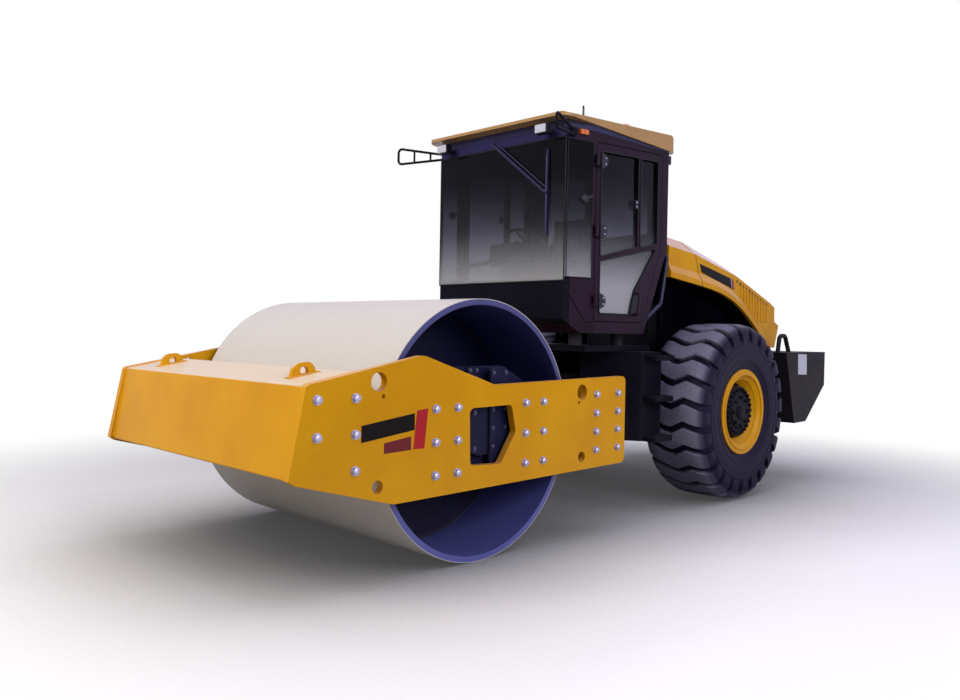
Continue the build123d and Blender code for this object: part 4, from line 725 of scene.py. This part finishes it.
# Turned profiles about the axle: (radius, outward) corners
FLANGE_RING = [(0.330, 0.272), (0.333, 0.284), (0.343, 0.288), (0.353, 0.284), (0.356, 0.272), (0.330, 0.272)]
LOCK_RING = [(0.292, 0.232), (0.296, 0.246), (0.304, 0.247), (0.309, 0.236), (0.292, 0.232)]
GEAR_CASE = [(0.0, 0.258), (0.060, 0.258), (0.068, 0.253), (0.072, CAP_FACE), (0.150, CAP_FACE),
             (0.158, 0.240), (0.162, HUB_FACE), (0.218, HUB_FACE), (0.228, 0.224), (0.231, 0.212),
             (0.231, 0.098), (0.0, 0.098)]
for side, hand in HANDS:
    hub = (AXLE_X, side * WHEEL_Y, AXLE_Z)
    body = "wheel_" + hand
    tyre_mesh = grown(tread_pitch(side), TREAD_ROUND_AXLE,
                      {"Count": LUG_COUNT, "Centre": hub, "Finish": tyre_black})
    tyre = place_mesh("lugged_tyre_" + hand, smoothed(tyre_mesh, 32), body, "tyre")
    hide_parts("tyre_" + hand)
    nuts = round_axis(hub, 0.198, evenly(24), side, HUB_FACE) + round_axis(hub, 0.130, evenly(8), side, CAP_FACE)
    bolts("wheel_nuts_" + hand, nuts, body, "black_paint", black_enamel, 0.013, 0.014, 0.018, 0.003)
    rings = [lathe(profile, hub, side) for profile in (FLANGE_RING, LOCK_RING)]
    place_mesh("rim_lock_rings_" + hand, joined(rings), body, "yellow_paint", rim_enamel)
    valve = tube([(hub[0] + 0.106, hub[1] + side * 0.215, hub[2] + 0.262),
                  (hub[0] + 0.102, hub[1] + side * 0.268, hub[2] + 0.252)], 0.007)
    place_mesh("tyre_valve_" + hand, valve, body, "rubber", seal_rubber)
    gear_case = lathe(GEAR_CASE, hub, side, 72)
    place_mesh("hub_gear_case_" + hand, gear_case, body, "black_paint", black_enamel)

# Front frame: plate bolts, motor brackets, stripes and weld beads

# Levels of the bolts by their distance ahead of the drum's axis
PLATE_BOLTS = {1.33: (1.11, 0.91), 1.08: (1.11, 0.91, 0.71), 0.49: (1.02, 0.82, 0.62), 0.31: (1.02, 0.82, 0.62),
               -0.31: (1.02, 0.82, 0.62), -0.49: (1.02, 0.82, 0.62), -1.08: (1.045, 0.91, 0.775, 0.64),
               -1.34: (1.045, 0.91, 0.775, 0.64)}
plate_spots = [((DRUM_X + x, side * PLATE_FACE, z), (0, side, 0))
               for side in SIDES for x, levels in PLATE_BOLTS.items() for z in levels]
bolts("plate_bolts", plate_spots, "front_frame", "rod_chrome", zinc, 0.023, 0.019, 0.028, 0.004)

MOTOR_FACE = SUPPORT_FACE + 0.07
MOTOR_BAR = [(1.600, 0.53), (1.765, 0.53), (1.765, 1.235), (1.745, 1.255), (1.620, 1.255), (1.600, 1.235)]
MOTOR_BAR_THICKNESS = 0.018
MOTOR_BAR_LEVELS = (0.62, 0.74, 0.86, 0.98, 1.10, 1.22)
BACK_BAR = [(1.700, 0.50), (1.915, 0.50), (1.915, 1.235), (1.890, 1.262), (1.725, 1.262), (1.700, 1.235)]
BACK_BAR_THICKNESS = 0.022
bars = []
bar_spots = []
motor_spots = []
for side in SIDES:
    bars.append(side_slab(MOTOR_BAR, MOTOR_FACE, side, MOTOR_BAR_THICKNESS, 0.004))
    bars.append(side_slab(BACK_BAR, SUPPORT_FACE, side, BACK_BAR_THICKNESS, 0.004))
    for x, face, levels in ((1.625, MOTOR_FACE + MOTOR_BAR_THICKNESS, MOTOR_BAR_LEVELS),
                            (1.740, MOTOR_FACE + MOTOR_BAR_THICKNESS, MOTOR_BAR_LEVELS),
                            (1.890, SUPPORT_FACE + BACK_BAR_THICKNESS, (0.56, 0.68, 1.06, 1.18, 1.235)),
                            (1.830, SUPPORT_FACE + BACK_BAR_THICKNESS, (1.06, 1.18, 1.235))):
        bar_spots += [((x, side * face, z), (0, side, 0)) for z in levels]
    motor_turns = [math.radians(turn) for turn in (150, 90, 30)]
    motor_spots += round_axis((DRUM_X, 0, DRUM_Z), 0.135, motor_turns, side, MOTOR_FACE)
place_mesh("motor_brackets", joined(bars), "front_frame", "drum_paint", navy_enamel)
bolts("bracket_bolts", bar_spots, "front_frame", "rod_chrome", shade_darkened_zinc, 0.010, 0.009, 0.015, 0.003)
bolts("motor_bolts", motor_spots, "front_frame", "rod_chrome", shade_darkened_zinc, 0.012, 0.010, 0.018, 0.003)

DARK_STRIPE = [(2.860, 0.955), (2.475, 1.004), (2.475, 0.906), (2.860, 0.860)]
RED_STRIPE = [(2.458, 1.018), (2.372, 1.028), (2.398, 0.792), (2.484, 0.794)]
LOW_STRIPE = [(2.700, 0.846), (2.500, 0.871), (2.500, 0.792), (2.700, 0.786)]
for name, corners, material in (("plate_stripe_dark", DARK_STRIPE, badge_black),
                                ("plate_stripe_red", RED_STRIPE, badge_red),
                                ("plate_stripe_low", LOW_STRIPE, badge_dull_red)):
    stripes = [side_slab(corners, PLATE_FACE, side, 0.0016, 0.0006) for side in SIDES]
    place_mesh(name, joined(stripes), "front_frame", "plastic", material)

# Weld beads by their distances ahead of and above the drum's axis: lifting lugs' feet, beam's ends, beam's top
LUG_Y = 0.83
BEAM_Y = 1.128
BEADS = ((LUG_Y - 0.019, ((1.088, 0.390), (1.190, 0.371), (1.292, 0.352))),
         (LUG_Y + 0.019, ((1.088, 0.390), (1.190, 0.371), (1.292, 0.352))),
         (BEAM_Y, ((1.389, 0.318), (1.433, 0.080), (1.476, -0.150))),
         (BEAM_Y, ((1.040, 0.401), (1.370, 0.338))))
beads = [tube([(DRUM_X + x, side * y, DRUM_Z + z) for x, z in path], 0.008) for side in SIDES for y, path in BEADS]
place_mesh("frame_weld_beads", joined(beads), "front_frame", "yellow_paint", yellow_enamel)

# Drum: weld rings where the heads meet the shell, hub bolts

HEAD_FACE = 0.485
WELD_RING = [(0.811, 0.0), (0.811, 0.020), (0.803, 0.018), (0.795, 0.010), (0.791, 0.0), (0.811, 0.0)]
rings = [lathe(WELD_RING, (DRUM_X, side * HEAD_FACE, DRUM_Z), side, 96) for side in SIDES]
place_mesh("drum_head_welds", joined(rings), "drum", "drum_paint", navy_enamel)
hub_spots = [spot for side in SIDES
             for spot in round_axis((DRUM_X, 0, DRUM_Z), 0.168, evenly(16), side, HEAD_FACE + 0.07)]
bolts("drum_hub_bolts", hub_spots, "drum", "rod_chrome", shade_darkened_zinc, 0.013, 0.012, 0.019, 0.003)

# Cab: seals, panel creases, clamp knobs, lenses, wiper arm and roof loop

GLASS_X = CAB_NOSE + 0.008
GLASS_LOW, GLASS_HIGH = 1.90, 3.02
QUARTER_TAPER = 0.2058


def quarter_y(x):
    """Sideways place of the tapering quarter panel's face."""
    return CAB_FACE - QUARTER_TAPER * max(x - (PIVOT_X + 0.14), 0)


seals = []
for side in SIDES:
    seals.append(tube([(GLASS_X - 0.003, side * 0.719, z) for z in (GLASS_LOW, GLASS_HIGH)], 0.005))
    seals.append(tube([(x, side * (quarter_y(x) + 0.009), z)
                       for x, z in ((0.307, 1.93), (0.56, 1.93), (0.56, 3.01), (0.307, 3.01))], 0.005, cyclic=True))
for level in (GLASS_LOW, GLASS_HIGH):
    seals.append(tube([(GLASS_X - 0.001, y, level) for y in (-0.716, 0.716)], 0.006))
place_mesh("glass_seals", joined(seals), "rear_frame", "rubber", seal_rubber)

CREASE = ((0.562, 1.862), (0.460, 1.722), (0.356, 1.585), (0.268, 1.585))
creases = [tube([(x, side * (quarter_y(x) + 0.001), z) for x, z in CREASE], 0.006) for side in SIDES]
place_mesh("panel_creases", joined(creases), "rear_frame", "cab_paint", cab_enamel)

KNOB_X = 0.393
KNOB = [(0.0, 0.028), (0.020, 0.026), (0.034, 0.018), (0.038, 0.006), (0.038, 0.0), (0.0, 0.0)]
knobs = []
for side in SIDES:
    face = quarter_y(KNOB_X) + 0.008
    knobs.append(lathe(KNOB, (KNOB_X, side * face, 2.551), side, 24))
    knobs.append(tube([(0.380, side * (face + 0.008), 2.556),
                       (0.318, side * (quarter_y(0.318) + 0.014), 2.574)], 0.013))
place_mesh("quarter_clamps", joined(knobs), "rear_frame", "plastic", grained_abs)

FRONT_LENS = rounded(oblong((0.514, 3.046), (0.622, 3.109)), 0.008)
REAR_LENS = rounded(oblong((0.677, 3.012), (0.763, 3.073)), 0.008)
lenses = []
for side in SIDES:
    lenses.append(end_slab(FRONT_LENS, PIVOT_X + 0.590, side, True, 0.006, 0.002))
    lenses.append(end_slab(REAR_LENS, PIVOT_X - 0.955, side, False, 0.006, 0.002))
place_mesh("work_lamp_lenses", joined(lenses), "rear_frame", "glass", clear_lens)

ARM_X = CAB_NOSE + 0.025
ARM_Y = 0.546
ARM_HUB = [(0.0, 0.012), (0.020, 0.012), (0.024, 0.006), (0.024, -0.012), (0.0, -0.012)]
arm = [tube([(ARM_X, -0.030, 3.075), (ARM_X, ARM_Y + 0.002, 2.632)], 0.006),
       tube([(ARM_X + 0.004, ARM_Y, 2.90), (ARM_X + 0.006, ARM_Y, 2.62), (ARM_X + 0.004, ARM_Y, 2.30)], 0.008),
       lathe(ARM_HUB, (ARM_X, ARM_Y, 2.605), 1, 20)]
place_mesh("wiper_arm_pair", joined(arm), "rear_frame", "black_paint", slate_and_sky_sheen_enamel)

EYE = ((0.226, 3.18), (0.226, 3.30), (0.226, 3.335), (0.219, 3.348), (0.212, 3.335), (0.212, 3.30), (0.212, 3.18))
eye = tube([(x, 0.60, z) for x, z in EYE], 0.004, smooth_path=True)
place_mesh("roof_eye", eye, "rear_frame", "black_paint", black_enamel)

# Doors: hinge covers, pane seals, latch and handle plate

HINGE_LEVELS = (1.75, 2.31, 2.87)
HINGE_FACE = 0.8105
HINGE_THICKNESS = 0.010
HINGE_COVER = [(0.2495, -0.064), (0.2495, 0.064), (0.218, 0.060), (0.182, 0.044), (0.160, 0.016), (0.160, -0.016),
               (0.182, -0.044), (0.218, -0.060)]
HANDLE_PLATE = rounded([(-0.222, 1.655), (-0.262, 1.800), (-0.316, 1.842), (-0.392, 1.800), (-0.338, 1.655)], 0.015)
LATCH = rounded(oblong((-0.300, 2.545), (-0.262, 2.622)), 0.012)
LATCH_THICKNESS = 0.014
PANES = (((0.1995, 2.1086), (0.1995, 2.9561), (-0.3225, 2.9822), (-0.3225, 2.2255)),
         ((-0.3545, 2.2255), (-0.3545, 2.9822), (-0.6165, 2.9951), (-0.6165, 2.2785)),
         ((0.1995, 1.652), (0.1995, 2.0768), (-0.6165, 2.2460), (-0.2985, 1.860), (-0.2385, 1.652)))
for side, hand in HANDS:
    body = "door_" + hand
    covers = [side_slab([(x, level + z) for x, z in HINGE_COVER], HINGE_FACE, side, HINGE_THICKNESS, 0.003)
              for level in HINGE_LEVELS]
    covers.append(side_slab(LATCH, CAB_FACE, side, LATCH_THICKNESS, 0.004))
    place_mesh("hinge_covers_" + hand, joined(covers), body, "plastic", grained_abs)
    studs = [((0.196, side * (HINGE_FACE + HINGE_THICKNESS), level + z), (0, side, 0))
             for level in HINGE_LEVELS for z in (-0.024, 0.024)]
    studs += [((-0.281, side * (CAB_FACE + LATCH_THICKNESS), z), (0, side, 0)) for z in (2.565, 2.602)]
    bolts("hinge_studs_" + hand, studs, body, "rod_chrome", zinc, 0.006, 0.005, 0.008, 0.002)
    plate = side_slab(HANDLE_PLATE, CAB_FACE, side, 0.006, 0.002)
    place_mesh("handle_plate_" + hand, plate, body, "plastic", grained_abs)
    gaskets = [tube([(x, side * (CAB_FACE + 0.001), z) for x, z in rounded(pane, 0.022)], 0.006, cyclic=True)
               for pane in PANES]
    place_mesh("pane_seals_" + hand, joined(gaskets), body, "rubber", seal_rubber)

# Operator's place: padded seat, arm rests and levers

VOXEL = 0.006
SWELLING_CAP = 0.022
CLOTH_STEPS = 20
CHANNEL_DEPTH, CHANNEL_WIDTH = 0.010, 0.009


def padded_seat(name, node, shrink, channel, front_axis):
    """Seat pad swollen by cloth pressure, with two sewn channels pressed in afterwards."""
    low, high = (Vector(corner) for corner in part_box(node))
    middle = (low + high) / 2
    shape = bmesh.new()
    shape.from_mesh(nodes[node].data)
    bmesh.ops.remove_doubles(shape, verts=shape.verts[:], dist=1e-5)
    for vert in shape.verts:
        vert.co = middle + Vector([s * d for s, d in zip(shrink, vert.co - middle)])
    pad = linked(name, shaped(shape, name))
    remesh = pad.modifiers.new("even_faces", "REMESH")
    remesh.voxel_size = VOXEL
    mesh = settled_mesh(pad)
    flat = [vert.co.copy() for vert in mesh.vertices]
    pad = linked(name, mesh)
    cloth = pad.modifiers.new("filling", "CLOTH")
    cloth.settings.use_pressure = True
    cloth.settings.uniform_pressure_force = 4
    cloth.settings.effector_weights.gravity = 0
    for step in range(1, CLOTH_STEPS + 1):
        bpy.context.scene.frame_set(step)
    mesh = settled_mesh(pad)
    bpy.context.scene.frame_set(1)
    for vert, start in zip(mesh.vertices, flat):
        move = vert.co - start
        if move.length > SWELLING_CAP:
            vert.co = start + move.normalized() * SWELLING_CAP
    for vert in mesh.vertices:
        vert.co.z = max(vert.co.z, low.z)
        away = vert.co - middle
        if away[front_axis] > 0:
            nearest = abs(abs(away.y) - channel)
            vert.co[front_axis] -= CHANNEL_DEPTH * math.exp(-(nearest / CHANNEL_WIDTH) ** 2)
    pad = linked(name, mesh)
    soft = pad.modifiers.new("soft", "SUBSURF")
    soft.levels = soft.render_levels = 1
    pad = place_mesh(name, smoothed(settled_mesh(pad), 80), "rear_frame", "seat_cover", seat_cloth)
    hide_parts(node)


padded_seat("padded_seat_cushion", "seat_cushion", (0.91, 0.91, 0.74), 0.13, 2)
padded_seat("padded_seat_back", "seat_back", (0.80, 0.91, 0.94), 0.12, 0)

# Paths by their distance ahead of the seat, and heights
SEAT_X = PIVOT_X - 0.33
ARM_REST = ((-0.17, 2.02), (-0.15, 2.13), (-0.05, 2.17), (0.12, 2.17), (0.24, 2.15))
LEVER = ((0.20, 2.15), (0.21, 2.22), (0.20, 2.29))
LEVER_KNOB = [(0.0, 0.026), (0.016, 0.022), (0.024, 0.0), (0.016, -0.022), (0.0, -0.026)]
controls = []
for side in SIDES:
    rest_y = side * 0.315
    for path, radius in ((ARM_REST, 0.032), (LEVER, 0.011)):
        controls.append(tube([(SEAT_X + x, rest_y, z) for x, z in path], radius, smooth_path=True))
    controls.append(lathe(LEVER_KNOB, (SEAT_X + 0.20, rest_y, 2.305), side, 20))
    controls.append(tube([(SEAT_X - 0.17, rest_y, 2.05), (SEAT_X - 0.17, side * 0.24, 1.93)], 0.022))
place_mesh("seat_arms_and_levers", joined(controls), "rear_frame", "plastic", grained_abs)

# Steps: gripping studs on each tread


def stud_tree():
    """Blunt studs pressed up from a step, one on each point."""
    tree, given = start_tree("step_studs", "Places", Foot_Radius="Float", Top_Radius="Float", Height="Float")
    stud = add(tree, "GeometryNodeMeshCone", {"Vertices": 8, "Radius Bottom": given["Foot Radius"],
                                              "Radius Top": given["Top Radius"], "Depth": given["Height"]})
    return on_points(tree, given, stud)


STEP_TOPS = (0.63, 0.965, 1.31)
stud_spots = [((-0.555 + 0.0245 * i, side * (0.918 + 0.022 * j), top), (0, 0, 1))
              for side in SIDES for top in STEP_TOPS for i in range(11) for j in range(5)]
studs = grown(points_mesh(stud_spots), stud_tree(),
              {"Foot Radius": 0.0085, "Top Radius": 0.006, "Height": 0.006, "Finish": black_enamel})
place_mesh("step_studs", studs, "rear_frame", "black_paint")

# Hood: air slots along the sides, blank badge panel


def slot_tree():
    """Rounded slots standing just proud of a face, one on each point, along the point's own direction."""
    tree, given = start_tree("air_slots", "Places", Width="Float", Height="Float", Corner="Float", Depth="Float")
    edge = add(tree, "GeometryNodeCurvePrimitiveQuadrilateral", {"Width": given["Width"], "Height": given["Height"]})
    soft = add(tree, "GeometryNodeFilletCurve",
               {"Curve": edge, "Count": 3, "Radius": given["Corner"], "Limit Radius": True}, mode="POLY")
    face = add(tree, "GeometryNodeFillCurve", {"Curve": soft}, mode="NGONS")
    raised = add(tree, "GeometryNodeExtrudeMesh", {"Mesh": face, "Offset Scale": given["Depth"]})
    under = add(tree, "GeometryNodeFlipFaces", {"Mesh": face})
    both = add(tree, "GeometryNodeJoinGeometry")
    for piece in (raised, under):
        feed(tree, both, {0: piece})
    closed = add(tree, "GeometryNodeMergeByDistance", {"Geometry": both, "Distance": 0.00005})
    return on_points(tree, given, closed)


def hood_ridge(x):
    """Height of the crease between the hood's side and its top."""
    return 2.09 + (x - PIVOT_X + 2.22) * (2.09 - 1.845) / 0.75


SLOT_SIZE = 0.026
slot_spots = [((x, side * HOOD_FACE, hood_ridge(x) - 0.048), (0, side, 0))
              for side in SIDES for x in [PIVOT_X - 2.237 - 0.062 * i for i in range(11)]]
slots = grown(points_mesh(slot_spots), slot_tree(),
              {"Width": SLOT_SIZE, "Height": SLOT_SIZE, "Corner": 0.4 * SLOT_SIZE, "Depth": 0.003,
               "Finish": grained_abs})
place_mesh("hood_side_slots", slots, "hood", "plastic")

BADGE = [(-1.392, 2.165), (-2.030, 2.052), (-2.060, 1.950), (-1.425, 2.086)]
GREY_BAR = [(-1.972, 2.060), (-1.990, 2.057), (-2.020, 1.962), (-2.002, 1.966)]
RED_BAR = [(-1.996, 2.056), (-2.026, 2.050), (-2.056, 1.953), (-2.026, 1.961)]
for name, corners, material, slot, lift in (("hood_panel", BADGE, badge_black, "plastic", 0.004),
                                            ("hood_panel_grey_bar", GREY_BAR, badge_grey, "lamp_plastic", 0.0055),
                                            ("hood_panel_red_bar", RED_BAR, badge_red, "plastic", 0.0055)):
    panels = [side_slab(corners, HOOD_FACE, side, lift, 0.0012) for side in SIDES]
    place_mesh(name, joined(panels), "hood", slot, material)

# Counterweight: blank label and tail lamps

LABEL = [(-2.665, 1.317), (-2.866, 1.311), (-2.878, 1.103), (-2.677, 1.108)]
place_mesh("blank_label", side_slab(LABEL, WEIGHT_FACE, 1, 0.0015, 0.0005), "rear_frame", "cab_paint", label_white)

HOUSING = rounded(oblong((0.86, 1.15), (1.06, 1.25)), 0.012)
HOUSING_THICKNESS = 0.012
TAIL_LENSES = [rounded(oblong((0.872, 1.160), (0.950, 1.240)), 0.010),
               rounded(oblong((0.970, 1.160), (1.048, 1.240)), 0.010)]
housings = [end_slab(HOUSING, TAIL_X, side, False, HOUSING_THICKNESS, 0.003) for side in SIDES]
place_mesh("tail_lamp_housings", joined(housings), "rear_frame", "lamp_plastic", lamp_abs)
tail_lenses = [end_slab(corners, TAIL_X - HOUSING_THICKNESS, side, False, 0.006, 0.003)
               for side in SIDES for corners in TAIL_LENSES]
place_mesh("tail_lamp_lenses", joined(tail_lenses), "rear_frame", "beacon_lens", beacon_lens)

# Camera and light

CAMERA_PLACE = Vector((5.6515, 4.892, 1.481))
CAMERA_YAW, CAMERA_PITCH, CAMERA_ROLL = (math.radians(a) for a in (45.04, -1.2, 0.99))
SENSOR_WIDTH = 36
FOCAL = 837 / 960 * SENSOR_WIDTH

forward = Vector((-math.cos(CAMERA_YAW) * math.cos(CAMERA_PITCH),
                  -math.sin(CAMERA_YAW) * math.cos(CAMERA_PITCH), math.sin(CAMERA_PITCH)))
level_right = forward.cross(Vector((0, 0, 1))).normalized()
level_up = level_right.cross(forward)
right = math.cos(CAMERA_ROLL) * level_right + math.sin(CAMERA_ROLL) * level_up
up = math.cos(CAMERA_ROLL) * level_up - math.sin(CAMERA_ROLL) * level_right
lens_data = bpy.data.cameras.new("photo_camera")
lens_data.lens = FOCAL
lens_data.sensor_width = SENSOR_WIDTH
lens_data.sensor_fit = "HORIZONTAL"
camera = linked("photo_camera", lens_data)
camera.matrix_world = Matrix((right, up, -forward)).transposed().to_4x4()
camera.location = CAMERA_PLACE
bpy.context.scene.camera = camera


def soft_light(name, place, target, size, power, colour):
    """A large rectangular lamp aimed at a target."""
    lamp = bpy.data.lights.new(name, "AREA")
    lamp.shape = "RECTANGLE"
    lamp.size, lamp.size_y = size
    lamp.energy = power
    lamp.color = linear(colour)[:3]
    holder = linked(name, lamp)
    holder.location = place
    holder.rotation_euler = (Vector(target) - Vector(place)).to_track_quat("-Z", "Y").to_euler()


soft_light("key_light", (8.8, -0.5, 6.0), (0.3, 0.2, 1.0), (5.0, 5.0), 560, "#FFF9F0")
soft_light("side_fill", (1.0, 8.5, 4.5), (0, 0, 1.2), (7.0, 4.0), 470, "#F2F0FF")
soft_light("sky_panel", (-1.0, 0.5, 9.0), (-0.5, 0, 1.0), (8.0, 6.0), 220, "#E6E0FF")


def seen_rays(tree):
    """The outputs that tell a ray's kind, and a share of 1 for rays that carry a picture."""
    ray = add(tree, "ShaderNodeLightPath").outputs
    straight = add(tree, "ShaderNodeMath", {0: ray["Is Camera Ray"], 1: ray["Is Transmission Ray"]},
                   operation="MAXIMUM")
    return ray, add(tree, "ShaderNodeMath", {0: straight, 1: ray["Is Glossy Ray"]}, operation="MAXIMUM")


FLOOR_HALF = 40
floor_mesh = bpy.data.meshes.new("studio_floor")
floor_mesh.from_pydata([(x * FLOOR_HALF, y * FLOOR_HALF, 0) for x, y in ((-1, -1), (1, -1), (1, 1), (-1, 1))],
                       [], [(0, 1, 2, 3)])
floor = linked("studio_floor", floor_mesh)
material, tree, shader, place = start_material("pale_studio_floor")
tone = add(tree, "ShaderNodeTexNoise", {"Vector": place, "Scale": 0.4, "Detail": 2.0})
pale = add(tree, "ShaderNodeMix", {0: tone, 6: linear("#F4F4F4"), 7: linear("#EFEFEF")}, data_type="RGBA")
# Darker close under the machine, where little light reaches
opening = add(tree, "ShaderNodeAmbientOcclusion", {"Distance": 1.9}, samples=8).outputs["AO"]
shade = add(tree, "ShaderNodeMath", {0: opening, 1: 1.6}, operation="POWER")
near = add(tree, "ShaderNodeMix", {0: shade, 6: linear("#141416"), 7: pale}, data_type="RGBA")
# Pale to the eye near the machine, grey to the light that it throws back, plain white farther off
seen = seen_rays(tree)[1]
shown = add(tree, "ShaderNodeMix", {0: seen, 6: linear("#9C9C9C"), 7: near}, data_type="RGBA")
feed(tree, shader, {"Base Color": shown, "Roughness": 0.9})
lift = add(tree, "ShaderNodeMath", {0: seen, 1: 0.05}, operation="MULTIPLY")
glow = add(tree, "ShaderNodeEmission", {"Strength": lift})
lit = add(tree, "ShaderNodeAddShader", {0: shader, 1: glow})
reach = add(tree, "ShaderNodeVectorMath", {0: place}, operation="LENGTH")
far = add(tree, "ShaderNodeMapRange", {"Value": reach, "From Min": 3.5, "From Max": 7.5},
          interpolation_type="SMOOTHSTEP")
share = add(tree, "ShaderNodeMath", {0: far, 1: seen}, operation="MULTIPLY")
plain = add(tree, "ShaderNodeEmission", {"Strength": 1.0})
mixed = add(tree, "ShaderNodeMixShader", {0: share, 1: lit, 2: plain})
feed(tree, [node for node in tree.nodes if node.bl_idname == "ShaderNodeOutputMaterial"][0], {"Surface": mixed})
floor_mesh.materials.append(material)

world = bpy.data.worlds.new("studio_world")
bpy.context.scene.world = world
world.use_nodes = True
sky = world.node_tree
sky.nodes.clear()
ray, seen = seen_rays(sky)
ambient = add(sky, "ShaderNodeBackground", {"Color": linear("#E9E8F2"), "Strength": 0.24})
# White to the eye and through the glass, a lavender sky in reflections
shown = add(sky, "ShaderNodeMix", {0: ray["Is Glossy Ray"], 6: (1, 1, 1, 1), 7: linear("#E2DCFF")},
            data_type="RGBA")
white = add(sky, "ShaderNodeBackground", {"Color": shown, "Strength": 1.0})
both = add(sky, "ShaderNodeMixShader", {0: seen, 1: ambient, 2: white})
add(sky, "ShaderNodeOutputWorld", {"Surface": both})

bpy.context.scene.view_settings.view_transform = "Standard"
